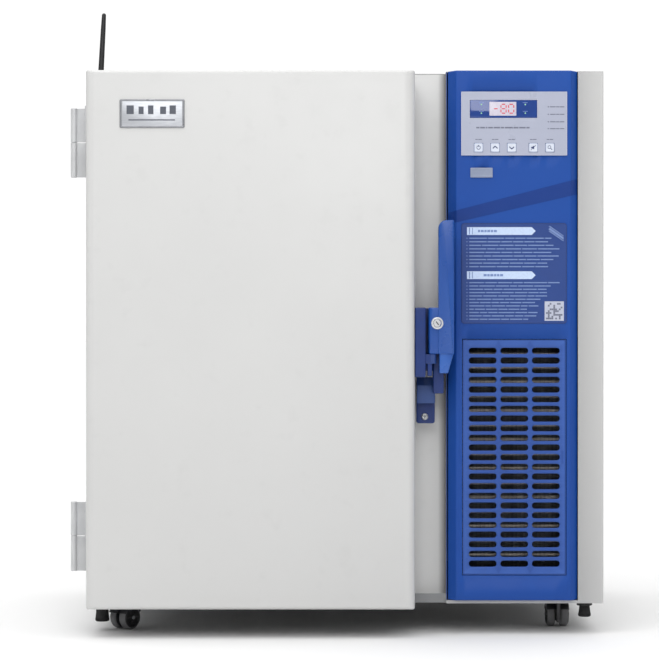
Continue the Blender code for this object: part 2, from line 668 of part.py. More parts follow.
def window_corners(inset, y0, y1):
    x0 = PANEL_LEFT + OVERLAY_FROM_LEFT + WINDOW_FROM_LEFT
    return ((x0 + inset, y0, WINDOW_BOTTOM + inset),
            (x0 + WINDOW_W - inset, y1, WINDOW_BOTTOM + WINDOW_H - inset))


def control_group():
    x0 = PANEL_LEFT + OVERLAY_FROM_LEFT
    outer = rectangle(x0, OVERLAY_BOTTOM, x0 + OVERLAY_W, OVERLAY_BOTTOM + OVERLAY_H)
    low, high = window_corners(0.0, 0.0, 0.0)
    holes = [rectangle(low[0], low[2], high[0], high[2])]
    for x in key_places().values():
        low, high = key_corners(x, KEY_CLEAR, 0.0, 0.0)
        holes.append(rectangle(low[0], low[2], high[0], high[2]))
    plate("control_overlay", [outer] + holes, OVERLAY_T, OVERLAY_FILM,
          upright(OVERLAY_FRONT + OVERLAY_T / 2))
    box("display_window", *window_corners(GAP, OVERLAY_FRONT - 0.0002, PANEL_INSIDE + 0.0006), WINDOW_TINT)
    for name, x in key_places().items():
        low, high = key_corners(x, 0.0, OVERLAY_FRONT - KEY_PROUD, PANEL_INSIDE + 0.0010)
        centre = [(a + b) / 2 for a, b in zip(low, high)]
        box(name, low, high, KEY_WHITE, centre)
    board_y = PANEL_INSIDE + 0.0010 + KEY_TRAVEL + 0.0005
    board = box("control_board", (x0 + 0.006, board_y, OVERLAY_BOTTOM + 0.004),
                (x0 + OVERLAY_W - 0.006, board_y + 0.0016, OVERLAY_BOTTOM + OVERLAY_H - 0.004), BOARD_GREEN)
    low, high = window_corners(0.004, PANEL_INSIDE + 0.0010, board_y + 0.0008)
    join(board, box("display_digits", low, high))


def port_flap():
    x0 = PANEL_LEFT + PORT_FROM_LEFT
    y1 = FRONT + PANEL_UPPER - GAP
    top = PORT_BOTTOM + PORT_H
    box("port_cover", (x0, y1 - PORT_T, PORT_BOTTOM), (x0 + PORT_W, y1, top), GREY_COVER,
        (x0 + PORT_W / 2, y1, top))


def notice_plate():
    x0 = PANEL_LEFT + NOTICE_FROM_LEFT
    y1 = FRONT + PANEL_LOWER - GAP
    box("notice_plate", (x0, y1 - NOTICE_T, NOTICE_BOTTOM), (x0 + NOTICE_W, y1, NOTICE_BOTTOM + NOTICE_H),
        NOTICE_BLUE)


def air_grille():
    x0 = PANEL_LEFT + GRILLE_FROM_LEFT
    clear = GRILLE_CLEAR
    outer = rectangle(x0 + clear, GRILLE_BOTTOM + clear, x0 + GRILLE_W - clear,
                      GRILLE_BOTTOM + GRILLE_H - clear)
    rows = int((GRILLE_H - 2 * SLOT_FROM_END) / SLOT_PITCH + 0.01) + 1
    width = (GRILLE_W - 2 * SLOT_FROM_SIDE - (SLOT_COLUMNS - 1) * SLOT_BAR) / SLOT_COLUMNS
    slots = []
    for row in range(rows):
        z = GRILLE_BOTTOM + SLOT_FROM_END + row * SLOT_PITCH
        for column in range(SLOT_COLUMNS):
            x = x0 + SLOT_FROM_SIDE + column * (width + SLOT_BAR)
            slots.append(rectangle(x, z - SLOT_H / 2, x + width, z + SLOT_H / 2))
    front = FRONT + PANEL_LOWER + 0.001
    plate("filter_grille", [outer] + slots, GRILLE_T, BLUE_PLASTIC, upright(front + GRILLE_T / 2),
          (x0 + clear, front, GRILLE_BOTTOM + GRILLE_H / 2))
    mat_front = front + GRILLE_T + 0.003
    box("filter_mat", (x0 - 0.004, mat_front, GRILLE_BOTTOM - 0.004),
        (x0 + GRILLE_W + 0.004, mat_front + 0.007, GRILLE_BOTTOM + GRILLE_H + 0.004), FILTER_BLACK)


# ---- Machine compartment ---------------------------------------------------------------------
CONDENSER_FRONT = FRONT + 0.086
CONDENSER_D = 0.036
CONDENSER_TOP = 0.522
FIN_PITCH = 0.008
FAN_X = (PARTITION + RIGHT) / 2
FAN_Z = 0.305
SHROUD_FRONT = FRONT + 0.132
SHROUD_HOLE_R = 0.098
ROTOR_R = 0.088
ROTOR_Y = FRONT + 0.160
COMPRESSOR_R = 0.082
COMPRESSOR_H = 0.205
COMPRESSOR_X = PARTITION + 0.130
COMPRESSOR_SPOTS = {"compressor_first_stage": FRONT + 0.360, "compressor_second_stage": FRONT + 0.585}


def condenser():
    """Fin block: an outline with a tooth for each fin on its front side, standing upright."""
    x0, x1 = PARTITION + 0.012, RIGHT - 0.014
    count = int((x1 - x0 - 0.004) / FIN_PITCH)
    outline = [(x1, CONDENSER_FRONT + CONDENSER_D), (x0, CONDENSER_FRONT + CONDENSER_D)]
    outline += [(x0, CONDENSER_FRONT)]
    for fin in range(count):
        x = x0 + 0.004 + fin * FIN_PITCH
        outline += [(x, CONDENSER_FRONT), (x, CONDENSER_FRONT + 0.010),
                    (x + FIN_PITCH / 2, CONDENSER_FRONT + 0.010), (x + FIN_PITCH / 2, CONDENSER_FRONT)]
    outline += [(x1, CONDENSER_FRONT)]
    bottom = BASE_TOP + 0.035
    plate("condenser", [outline], CONDENSER_TOP - bottom, ALUMINIUM,
          Matrix.Translation((0, 0, (bottom + CONDENSER_TOP) / 2)))


def fan_group():
    outer = rectangle(PARTITION + 0.010, BASE_TOP + GAP, RIGHT - 0.012, FAN_Z + 0.170)
    hole = arc(FAN_X, FAN_Z, SHROUD_HOLE_R, 0, 360, 32)[:-1]
    plate("fan_shroud", [outer, hole], 0.002, STEEL, upright(SHROUD_FRONT))
    centre = (FAN_X, ROTOR_Y, FAN_Z)
    rotor = turned("fan_rotor", [(0.0, 0.011), (0.020, 0.011), (0.020, -0.011), (0.0, -0.011)],
                   centre, BLACK_PLASTIC, 20, "Y")
    for blade in range(5):
        around = Matrix.Rotation(math.radians(72 * blade), 4, "Y")
        tilt = Matrix.Rotation(math.radians(32), 4, "Z")
        vane = box(f"fan_blade_{blade}", (-0.024, -0.001, 0.016), (0.024, 0.001, ROTOR_R))
        vane.data.transform(Matrix.Translation(centre) @ around @ tilt)
        join(rotor, vane)
    motor_front = ROTOR_Y + 0.014
    motor = rod("fan_motor", (FAN_X, motor_front, FAN_Z), (FAN_X, motor_front + 0.055, FAN_Z), 0.034,
                CAST_GREY)
    join(motor, box("motor_stand", (FAN_X - 0.018, motor_front + 0.020, BASE_TOP + GAP),
                    (FAN_X + 0.018, motor_front + 0.032, FAN_Z)))


def compressors():
    low = BASE_TOP + GAP
    r = COMPRESSOR_R
    dome = [(0.0, COMPRESSOR_H), (r * 0.45, COMPRESSOR_H - 0.005), (r * 0.80, COMPRESSOR_H - 0.024),
            (r, COMPRESSOR_H - 0.060), (r, 0.030), (r * 0.9, 0.014), (r * 0.9, 0.004), (r * 1.05, 0.004),
            (r * 1.05, 0.0), (0.0, 0.0)]
    for name, y in COMPRESSOR_SPOTS.items():
        turned(name, dome, (COMPRESSOR_X, y, low), COMPRESSOR_BLACK, 20)


def pipework():
    y1, y2 = COMPRESSOR_SPOTS.values()
    top = BASE_TOP + 2 * GAP + COMPRESSOR_H
    end = (RIGHT - 0.050, CONDENSER_FRONT + CONDENSER_D / 2, CONDENSER_TOP + GAP)
    high = CONDENSER_TOP + 0.060
    corners = [(COMPRESSOR_X, y1, top), (COMPRESSOR_X, y1, high), (end[0], y1, high),
               (end[0], end[1], high), end]
    tube("copper_pipework", rounded_path(corners, 0.025), 0.005, COPPER)


def control_box():
    box("control_box", (PARTITION + 0.030, FRONT + 0.230, 0.660), (RIGHT - 0.030, FRONT + 0.470, 0.830),
        STEEL)


def mains_inlet():
    w, h = INLET_W / 2, INLET_H / 2
    inlet = box("mains_inlet", (INLET_X - w, BACK - 0.022, INLET_Z - h), (INLET_X + w, BACK + 0.001, INLET_Z + h),
                BLACK_PLASTIC)
    join(inlet, box("inlet_flange", (INLET_X - w - 0.006, BACK + GAP, INLET_Z - h - 0.004),
                    (INLET_X + w + 0.006, BACK + 0.003, INLET_Z + h + 0.004)))
    cut(inlet, box("inlet_recess", (INLET_X - w + 0.003, BACK - 0.014, INLET_Z - h + 0.003),
                   (INLET_X + w - 0.003, BACK + 0.01, INLET_Z + h - 0.003)))


# ---- Outer door ---------------------------------------------------------------------------------
HINGE_AXIS = (HINGE_X, HINGE_Y, 0.0)
DOOR_INSIDE = DOOR_BACK - 0.003


def outer_door():
    skin_low = (LEFT, FRONT, DOOR_BOTTOM)
    skin_high = (DOOR_RIGHT, DOOR_BACK, DOOR_TOP)
    open_shell("door_skin", skin_low, skin_high, WHITE_PAINT, DOOR_EDGE_R, HINGE_AXIS)
    inset = SHEET + GAP
    low = [c + inset for c in skin_low]
    high = (DOOR_RIGHT - inset, DOOR_INSIDE - GAP, DOOR_TOP - inset)
    round_slab("door_foam", low, high, DOOR_EDGE_R - inset, FOAM, HINGE_AXIS)
    liner = box("door_liner", (low[0], DOOR_INSIDE, low[2]), (high[0], DOOR_BACK, high[2]), INNER_WHITE,
                HINGE_AXIS)
    rim = 0.048
    join(liner, box("door_plateau", (LEFT + rim, DOOR_BACK - 0.001, DOOR_BOTTOM + rim),
                    (DOOR_RIGHT - rim, DOOR_BACK + GASKET_T - 0.003, DOOR_TOP - rim)))
    inset, width = 0.014, 0.024
    outer = rectangle(LEFT + inset, DOOR_BOTTOM + inset, DOOR_RIGHT - inset, DOOR_TOP - inset)
    inset += width
    inner = rectangle(LEFT + inset, DOOR_BOTTOM + inset, DOOR_RIGHT - inset, DOOR_TOP - inset)
    depth = GASKET_T - GAP
    plate("door_gasket", [outer, inner], depth, GASKET_GREY, upright(DOOR_BACK + GAP + depth / 2), HINGE_AXIS)
    badge_x = LEFT + BADGE_FROM_LEFT
    badge_z = DOOR_TOP - BADGE_UNDER_TOP
    box("badge_plate", (badge_x, FRONT - BADGE_T, badge_z - BADGE_H), (badge_x + BADGE_W, FRONT - GAP, badge_z),
        BADGE_SILVER, HINGE_AXIS)


def hinges():
    height = HINGE_LOWER_LEAF + HINGE_UPPER_LEAF
    bottoms = {"upper": DOOR_TOP - HINGE_FROM_END - height, "lower": DOOR_BOTTOM + HINGE_FROM_END}
    for name, low in bottoms.items():
        split, high = low + HINGE_LOWER_LEAF, low + height
        bore = HINGE_PIN_R + RUN
        barrel = [(HINGE_BARREL_R, high), (HINGE_BARREL_R, split + GAP), (bore, split + GAP), (bore, high)]
        leaf = turned("hinge_door_" + name, barrel, HINGE_AXIS, CAST_GREY, 24)
        x0 = HINGE_X + HINGE_BARREL_R - 0.0014
        half = HINGE_LEAF_T / 2
        join(leaf, box("door_arm_" + name, (x0, HINGE_Y - half, split + GAP), (LEFT - GAP, HINGE_Y + half, high)))
        join(leaf, box("door_flange_" + name, (LEFT - GAP - HINGE_LEAF_T, HINGE_Y - 0.050, split + GAP),
                       (LEFT - GAP, HINGE_Y + half, high)))
        pin_top = high - 0.003
        post = [(0.0, pin_top), (HINGE_PIN_R, pin_top), (HINGE_PIN_R, split), (HINGE_BARREL_R, split),
                (HINGE_BARREL_R, low), (0.0, low)]
        fixed = turned("hinge_cabinet_" + name, post, HINGE_AXIS, CAST_GREY, 24)
        join(fixed, box("cabinet_arm_" + name, (x0, HINGE_Y - half, low), (LEFT - GAP, HINGE_Y + half, split)))
        join(fixed, box("cabinet_flange_" + name, (LEFT - GAP - HINGE_LEAF_T, HINGE_Y - half, low),
                        (LEFT - GAP, HINGE_Y + 0.085, split)))


# ---- Handle, lock and strike -------------------------------------------------------------------------
LEVER_FRONT = 0.0090
LEVER_X = DOOR_RIGHT + LEVER_FROM_DOOR
PIVOT = (LEVER_X + LEVER_PIVOT_R, FRONT + LEVER_FRONT + LEVER_PIVOT_R)
PIVOT_PIN_R = 0.0035
PIVOT_PIN_TOP = HANDLE_Z + PIVOT_PIN_RISE
LOCK_X = DOOR_RIGHT + LOCK_FROM_DOOR
LOCK_DEPTH = 0.0300
KNUCKLE_R = 0.0065


def handle_lever():
    x0, x1 = LEVER_X, LEVER_X + LEVER_W
    back = FRONT + LEVER_BACK
    outline = [(x1, back), (x0, back)]
    outline += arc(*PIVOT, LEVER_PIVOT_R, 180, 270, 5)
    outline += [(x1, FRONT + LEVER_FRONT)]
    lever = plate("handle_lever", [outline], LEVER_TOP - HANDLE_Z, BLUE_PLASTIC,
                  Matrix.Translation((0, 0, (LEVER_TOP + HANDLE_Z) / 2)), (*PIVOT, HANDLE_Z))
    gx0 = DOOR_RIGHT + GRIP_FROM_DOOR
    gx1 = gx0 + GRIP_W
    crown = 0.014
    grip_outline = [(gx1, HANDLE_Z), (gx1, GRIP_TOP - 0.003), (gx1 - 0.003, GRIP_TOP)]
    grip_outline += arc(gx0 + crown, GRIP_TOP - crown, crown, 90, 180, 5)
    grip_outline += [(gx0, HANDLE_Z)]
    thick = GRIP_BACK - GRIP_FRONT
    grip = plate("grip_bar", [grip_outline], thick, None, upright(FRONT + GRIP_FRONT + thick / 2))
    tongue = box("latch_tongue", (PIVOT[0] + 0.005, PIVOT[1] + 0.014, HANDLE_Z - TONGUE_DROP),
                 (PIVOT[0] + 0.020, PIVOT[1] + 0.036, HANDLE_Z + 0.002))
    join(lever, grip, tongue)
    pin_bore = rod("pivot_bore", (*PIVOT, HANDLE_Z - 0.01), (*PIVOT, PIVOT_PIN_TOP + 0.0015),
                   PIVOT_PIN_R + RUN)
    lock = (LOCK_X, FRONT + LEVER_FRONT + LOCK_DEPTH - 0.004, LOCK_Z)
    lock_bore = rod("lock_bore", (lock[0], FRONT - 0.01, lock[2]), lock, LOCK_R + RUN)
    cut(lever, pin_bore, lock_bore)


def lock_barrel():
    front = FRONT + LEVER_FRONT - 0.0050
    back = front + LOCK_DEPTH
    centre = (LOCK_X, front, LOCK_Z)
    profile = [(0.0, back - front), (LOCK_R, back - front), (LOCK_R, 0.0010), (LOCK_R - 0.0010, 0.0),
               (0.0, 0.0)]
    barrel = turned("lock_barrel", profile, centre, STEEL, 24, "Y")
    cut(barrel, box("keyway", (centre[0] - 0.0010, front - 0.002, LOCK_Z - 0.0045),
                    (centre[0] + 0.0010, front + 0.003, LOCK_Z + 0.0045)))


def handle_bracket():
    x0 = DOOR_RIGHT + GAP
    x1 = x0 + BRACKET_W
    bracket = box("handle_bracket", (x0, FRONT + 0.009, HANDLE_Z - BRACKET_DROP),
                  (x1, FRONT + 0.080, LEVER_TOP), BLUE_METAL, HINGE_AXIS)
    arm_low, arm_high = HANDLE_Z - ARM_DROP, HANDLE_Z - 0.0005
    arm = box("bracket_arm", (x1 - 0.002, PIVOT[1] - 0.005, arm_low), (PIVOT[0], PIVOT[1] + 0.005, arm_high))
    knuckle = turned("bracket_knuckle", [(0.0, PIVOT_PIN_TOP), (PIVOT_PIN_R, PIVOT_PIN_TOP),
                                         (PIVOT_PIN_R, arm_high), (KNUCKLE_R, arm_high), (KNUCKLE_R, arm_low),
                                         (0.0, arm_low)], (*PIVOT, 0.0), None, 24)
    join(bracket, arm, knuckle)


def strike_bracket():
    x0 = DOOR_RIGHT + STRIKE_FROM_DOOR
    x1 = x0 + STRIKE_W
    back = STRIP_FRONT - GAP
    strike = box("strike_bracket", (x0, back - 0.003, STRIKE_BOTTOM), (x1, back, STRIKE_TOP), BLUE_METAL)
    catch_front = PIVOT[1] + 0.0385
    join(strike, box("strike_catch", (x0, catch_front, STRIKE_TOP - 0.045), (x1, back - 0.001, STRIKE_TOP)))
    screw = (x0 + 0.0147, STRIKE_BOTTOM + 0.0117)
    join(strike, rod("strike_screw", (screw[0], back - 0.0055, screw[1]), (screw[0], back - 0.002, screw[1]),
                     0.0065, sides=16))


# ---- Inner doors, antenna, casters and feet ----------------------------------------------------------
def inner_doors():
    side_gap = 0.003
    y0 = LINER_FRONT + 0.001
    x0, x1 = CHAMBER_LEFT + side_gap, CHAMBER_RIGHT - side_gap
    middle = (CHAMBER_BOTTOM + CHAMBER_TOP) / 2
    spans = {"inner_door_lower": (CHAMBER_BOTTOM + side_gap, middle - side_gap / 2),
             "inner_door_upper": (middle + side_gap / 2, CHAMBER_TOP - side_gap)}
    for name, (z0, z1) in spans.items():
        box(name, (x0, y0, z0), (x1, y0 + INNER_DOOR_T, z1), INNER_WHITE, (x0, y0, 0.0))


def antenna():
    y, z = FRONT + ANTENNA_SETBACK, CABINET_TOP - ANTENNA_UNDER_TOP
    jack_end = LEFT - 0.0120
    rod("antenna_jack", (LEFT - GAP, y, z), (jack_end, y, z), 0.0065, CAST_GREY, 12)
    pivot = (LEFT - ANTENNA_OUT, y, z)
    elbow = rod("antenna_elbow", (jack_end - GAP, y, z), (pivot[0] + 0.0085, y, z), 0.0060, BLACK_PLASTIC, 16,
                pivot)
    join(elbow, box("elbow_tongue", (pivot[0] - 0.0045, y - 0.0012, z - 0.0045),
                    (pivot[0] + 0.0090, y + 0.0012, z + 0.0045)))
    length = ANTENNA_H / math.cos(ANTENNA_LEAN)
    profile = [(0.0, length), (0.0040, length), (0.0050, length - 0.004), (0.0063, 0.030), (0.0063, -0.004),
               (0.0, -0.004)]
    whip = turned("antenna_whip", profile, pivot, BLACK_PLASTIC, 16, turn=Matrix.Rotation(ANTENNA_LEAN, 4, "Y"))
    cut(whip, box("whip_slot", (pivot[0] - 0.012, y - 0.0016, z - 0.012), (pivot[0] + 0.012, y + 0.0016, z + 0.0085)))


CASTER_SIDES = 24
CASTER_GROOVE = 0.0040       # half of the gap between a caster's two wheels
CASTER_WEB = 0.0030          # half of the web that stands in it


def casters():
    corner_r = CASTER_WHEEL_R / math.cos(math.pi / CASTER_SIDES)
    half = CASTER_W / 2
    for spot, (x, y) in CASTER_SPOTS.items():
        turn = Matrix.Rotation(math.radians(CASTER_TURNS[spot]), 4, "Z")
        swivel = Matrix.Translation((x, y, 0.0)) @ turn
        axle = swivel @ Vector((0.0, CASTER_TRAIL, CASTER_WHEEL_R))
        top = CABINET_BOTTOM - GAP
        stem = [(0.0, top), (0.0140, top), (0.0140, top - 0.003), (0.0160, top - 0.0035), (0.0160, top - 0.0080),
                (0.0, top - 0.0080)]
        body = turned("caster_body_" + spot, stem, (x, y, 0.0), BLACK_PLASTIC, 20)
        web = box("caster_web_" + spot, (-CASTER_WEB, -0.012, 0.010), (CASTER_WEB, CASTER_TRAIL + 0.008, top - 0.006))
        web.data.transform(swivel)
        start, end = (swivel @ Vector((dx, CASTER_TRAIL, CASTER_WHEEL_R)) for dx in (-0.01, 0.01))
        join(body, web)
        cut(body, rod("caster_axle_hole_" + spot, start, end, CASTER_AXLE_R + RUN))
        shape = [(0.0, half), (corner_r - 0.002, half), (corner_r, half - 0.002), (corner_r, CASTER_GROOVE),
                 (CASTER_AXLE_R, CASTER_GROOVE), (CASTER_AXLE_R, -CASTER_GROOVE), (corner_r, -CASTER_GROOVE),
                 (corner_r, 0.002 - half), (corner_r - 0.002, -half), (0.0, -half)]
        turned("caster_wheels_" + spot, shape, axle, TREAD_GREY, CASTER_SIDES, "X",
               math.pi / CASTER_SIDES, turn)


def levelling_feet():
    for name, (x, y) in FOOT_SPOTS.items():
        low, pad_r = FOOT_PADS[name]
        nut = CABINET_BOTTOM - 0.002
        profile = [(0.0, FOOT_STUD_TOP), (FOOT_STUD_R, FOOT_STUD_TOP), (FOOT_STUD_R, nut), (pad_r + 0.003, nut),
                   (pad_r + 0.003, nut - 0.006), (pad_r - 0.002, nut - 0.006), (pad_r, low + 0.006),
                   (pad_r, low + 0.0015), (pad_r - 0.0015, low), (0.0, low)]
        turned("levelling_foot_" + name, profile, (x, y, 0.0), BLACK_PLASTIC, 20)


def build():
    side_panels()
    top_panel()
    base_frame()
    back_panel()
    chamber_front()
    insulation()
    chamber_liner()
    shelves()
    front_panel()
    control_group()
    port_flap()
    notice_plate()
    air_grille()
    condenser()
    fan_group()
    compressors()
    pipework()
    control_box()
    mains_inlet()
    outer_door()
    hinges()
    handle_lever()
    lock_barrel()
    handle_bracket()
    strike_bracket()
    inner_doors()
    antenna()
    casters()
    levelling_feet()


build()
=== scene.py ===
"""Looks of the under-bench ultra-low-temperature laboratory freezer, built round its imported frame.

Metres, +Z up; the door and the control panel face -Y. Shapes are worked out with numpy as a pair
(points, faces) and put into meshes by piece().
"""
import json
import math

import bmesh
import bpy
import numpy as np
from mathutils import Matrix, Vector


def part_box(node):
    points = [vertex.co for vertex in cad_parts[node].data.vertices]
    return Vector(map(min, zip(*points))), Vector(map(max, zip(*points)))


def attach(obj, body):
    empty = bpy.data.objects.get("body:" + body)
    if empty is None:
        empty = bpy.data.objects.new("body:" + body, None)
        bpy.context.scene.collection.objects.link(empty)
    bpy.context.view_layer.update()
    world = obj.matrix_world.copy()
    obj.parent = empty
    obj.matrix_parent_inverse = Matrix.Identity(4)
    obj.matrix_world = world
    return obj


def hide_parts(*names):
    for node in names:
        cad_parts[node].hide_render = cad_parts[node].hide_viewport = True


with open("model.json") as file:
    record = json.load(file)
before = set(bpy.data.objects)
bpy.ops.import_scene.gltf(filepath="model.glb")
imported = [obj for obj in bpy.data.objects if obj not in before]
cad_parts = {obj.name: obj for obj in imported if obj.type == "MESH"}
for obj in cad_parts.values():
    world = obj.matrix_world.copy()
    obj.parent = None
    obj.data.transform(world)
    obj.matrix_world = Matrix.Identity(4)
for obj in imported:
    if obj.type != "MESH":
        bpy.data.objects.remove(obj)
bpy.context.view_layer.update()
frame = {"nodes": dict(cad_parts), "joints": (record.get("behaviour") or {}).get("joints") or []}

# ---- Sizes read from the frame -------------------------------------------------------------------
DOOR_LOW, DOOR_HIGH = (np.array(c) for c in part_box("door_skin"))
PANEL_LOW, PANEL_HIGH = (np.array(c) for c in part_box("front_panel"))
GRILLE_LOW, GRILLE_HIGH = (np.array(c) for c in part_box("filter_grille"))
OVERLAY_LOW, OVERLAY_HIGH = (np.array(c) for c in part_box("control_overlay"))
WINDOW_LOW, WINDOW_HIGH = (np.array(c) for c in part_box("display_window"))
LINER_LOW, LINER_HIGH = (np.array(c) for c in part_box("inner_liner"))
FRONT = DOOR_LOW[1]
LEFT = DOOR_LOW[0]
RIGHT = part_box("side_panel_right")[1][0]
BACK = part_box("back_panel")[0][1] + 0.0012
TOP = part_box("top_panel")[1][2]
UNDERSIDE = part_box("base_frame")[0][2]
JOINTS = {joint["name"]: joint for joint in frame["joints"]}
HAIR = 0.00015                # how far a printed mark stands on its plate


# ---- Shapes as (points, faces) ---------------------------------------------------------------------
def strips(rows, count, closed=True, start=0):
    """Quads between rows of count points each; closed joins the last point to the first."""
    ring = np.arange(count)
    after = np.roll(ring, -1)
    if not closed:
        ring, after = ring[:-1], after[:-1]
    base = start + np.arange(rows - 1)[:, None] * count
    quads = np.stack([base + ring, base + after, base + count + after, base + count + ring], axis=-1)
    return quads.reshape(-1, 4).tolist()


def joined(*shapes):
    """Several shapes as one: the points are stacked and the faces count on from them."""
    points, faces, start = [], [], 0
    for p, f in shapes:
        points.append(np.asarray(p, float))
        faces += [[i + start for i in face] for face in f]
        start += len(p)
    return np.concatenate(points), faces


def stacked(rings, cap_first=True, cap_last=True):
    """A closed skin through rings of equal count, with a flat cap on the first and the last."""
    rings = np.asarray(rings, float)
    rows, count = rings.shape[:2]
    faces = strips(rows, count)
    if cap_first:
        faces.append(list(range(count))[::-1])
    if cap_last:
        faces.append(list(range((rows - 1) * count, rows * count)))
    return rings.reshape(-1, 3), faces


def round_rectangle(x0, z0, x1, z1, radius, steps=5):
    """Counter-clockwise outline of a rectangle whose corners are quarter circles."""
    radius = min(radius, (x1 - x0) / 2.001, (z1 - z0) / 2.001)
    angles = np.linspace(0, math.pi / 2, steps + 1)
    corners = [(x1 - radius, z1 - radius, 0), (x0 + radius, z1 - radius, 1), (x0 + radius, z0 + radius, 2),
               (x1 - radius, z0 + radius, 3)]
    parts = [np.stack([cx + radius * np.cos(angles + q * math.pi / 2),
                       cz + radius * np.sin(angles + q * math.pi / 2)], axis=1) for cx, cz, q in corners]
    return np.concatenate(parts)


def terraced(rect, rings, steps=5):
    """A panel that faces -Y: each ring is (inset, y, corner radius) of a rounded rectangle in X and Z;
    the skin runs through the rings and is capped on the first and the last."""
    x0, z0, x1, z1 = rect
    made = []
    for inset, y, radius in rings:
        flat = round_rectangle(x0 + inset, z0 + inset, x1 - inset, z1 - inset, max(radius, 1e-5), steps)
        made.append(np.column_stack([flat[:, 0], np.full(len(flat), y), flat[:, 1]]))
    return stacked(made)


def framed(rect, profile, radius=0.004, steps=4):
    """A closed frame: a closed profile of (inset, y) carried round a rounded rectangle in X and Z."""
    x0, z0, x1, z1 = rect
    made = []
    for inset, y in list(profile) + [profile[0]]:
        flat = round_rectangle(x0 + inset, z0 + inset, x1 - inset, z1 - inset, max(radius - inset, 0.0005),
                               steps)
        made.append(np.column_stack([flat[:, 0], np.full(len(flat), y), flat[:, 1]]))
    return stacked(made, False, False)


def block(low, high, radius=0.0015, steps=3):
    """A box with round edges and corners: each face is a grid of directions whose tangents run from
    -45 to 45 degrees; a point is the inner box's corner on its side plus the radius along it."""
    low, high = np.asarray(low, float), np.asarray(high, float)
    radius = min(radius, (high - low).min() / 2.001)
    core = (high - low) / 2 - radius
    half = np.linspace(0, math.pi / 4, steps + 1)
    lean = np.concatenate([-half[::-1], half])
    side = np.concatenate([-np.ones(steps + 1), np.ones(steps + 1)])
    count = len(lean)
    a, b = np.meshgrid(np.tan(lean), np.tan(lean), indexing="ij")
    sa, sb = np.meshgrid(side, side, indexing="ij")
    points, faces = [], []
    for axis in range(3):
        for sign in (-1.0, 1.0):
            u, v = (axis + 1) % 3, (axis + 2) % 3
            direction = np.zeros((count, count, 3))
            direction[..., axis], direction[..., u], direction[..., v] = sign, a, b
            direction /= np.linalg.norm(direction, axis=-1, keepdims=True)
            corner = np.zeros_like(direction)
            corner[..., axis], corner[..., u], corner[..., v] = sign * core[axis], sa * core[u], sb * core[v]
            faces += strips(count, count, False, len(points) * count * count)
            points.append((corner + radius * direction).reshape(-1, 3))
    return np.concatenate(points) + (low + high) / 2, faces


def lathe(profile, centre, axis="Z", steps=48, start=0.0):
    """A turned piece: (radius, height) points carried round the axis, closed at its ends where the
    radius is 0, or round on itself where the profile starts away from the axis."""
    profile = np.asarray(profile, float)
    if profile[0][0] > 1e-9:
        profile = np.vstack([profile, profile[:1]])
    angles = start + np.arange(steps) * 2 * math.pi / steps
    r, h = profile[:, :1], np.repeat(profile[:, 1:], steps, axis=1)
    x, y = r * np.cos(angles), r * np.sin(angles)
    order = {"Z": (x, y, h), "X": (h, x, y), "Y": (y, h, x)}[axis]
    points = np.stack(order, axis=-1).reshape(-1, 3) + np.asarray(centre, float)
    return points, strips(len(profile), steps)


def arc_points(cx, cy, radius, start, end, steps=6):
    """Points on an arc, angles in degrees."""
    a = np.radians(np.linspace(start, end, steps + 1))
    return [(cx + radius * c, cy + radius * s) for c, s in zip(np.cos(a), np.sin(a))]


def inward(outline, amount):
    """The outline moved inwards: each corner goes along the sum of its edges' normals."""
    outline = np.asarray(outline, float)
    before = outline - np.roll(outline, 1, axis=0)
    after = np.roll(outline, -1, axis=0) - outline
    normals = []
    for edge in (before, after):
        length = np.linalg.norm(edge, axis=1, keepdims=True)
        normals.append(np.column_stack([-edge[:, 1], edge[:, 0]]) / np.maximum(length, 1e-12))
    middle = normals[0] + normals[1]
    scale = np.maximum((middle * normals[0]).sum(axis=1, keepdims=True), 0.35)
    return outline + amount * middle / scale


def prism(outline, low, high, edge=0.001, steps=3, plane="XY"):
    """An outline, counter-clockwise, carried from low to high along its normal, with round edges at
    both ends: ring k is inset by edge(1-cos) while it rises by edge(1-sin)."""
    angles = np.linspace(0, math.pi / 2, steps + 1)
    levels = [(edge * (1 - math.sin(a)), low + edge * (1 - math.cos(a))) for a in angles]
    levels += [(edge * (1 - math.sin(a)), high - edge * (1 - math.cos(a))) for a in angles[::-1]]
    made = []
    for inset, height in levels:
        flat = inward(outline, inset) if inset > 1e-9 else np.asarray(outline, float)
        rise = np.full(len(flat), height)
        order = {"XY": (flat[:, 0], flat[:, 1], rise), "XZ": (flat[:, 0], rise, flat[:, 1]),
                 "YZ": (rise, flat[:, 0], flat[:, 1])}[plane]
        made.append(np.column_stack(order))
    return stacked(made)


def pipe(path, radius, sides=16):
    """A round tube along points: a circle carried with the least twist, capped at both ends."""
    path = np.asarray(path, float)
    along = np.gradient(path, axis=0)
    along /= np.linalg.norm(along, axis=1, keepdims=True)
    side = np.cross(along[0], (0.31, 0.57, 0.76))
    angles = np.arange(sides) * 2 * math.pi / sides
    rings = []
    for point, direction in zip(path, along):
        side = side - direction * side.dot(direction)
        side /= np.linalg.norm(side)
        other = np.cross(direction, side)
        rings.append(point + radius * (np.outer(np.cos(angles), side) + np.outer(np.sin(angles), other)))
    return stacked(rings)


def bend(corners, radius, steps=6):
    """Straight runs between corners, each corner rounded by a quadratic curve."""
    corners = np.asarray(corners, float)
    path = [corners[0]]
    for before, corner, after in zip(corners, corners[1:], corners[2:]):
        back, on = before - corner, after - corner
        reach = min(radius, np.linalg.norm(back) / 2, np.linalg.norm(on) / 2)
        start = corner + back / np.linalg.norm(back) * reach
        end = corner + on / np.linalg.norm(on) * reach
        t = np.linspace(0, 1, steps + 1)[:, None]
        path += list((1 - t) ** 2 * start + 2 * t * (1 - t) * corner + t * t * end)
    path.append(corners[-1])
    return path


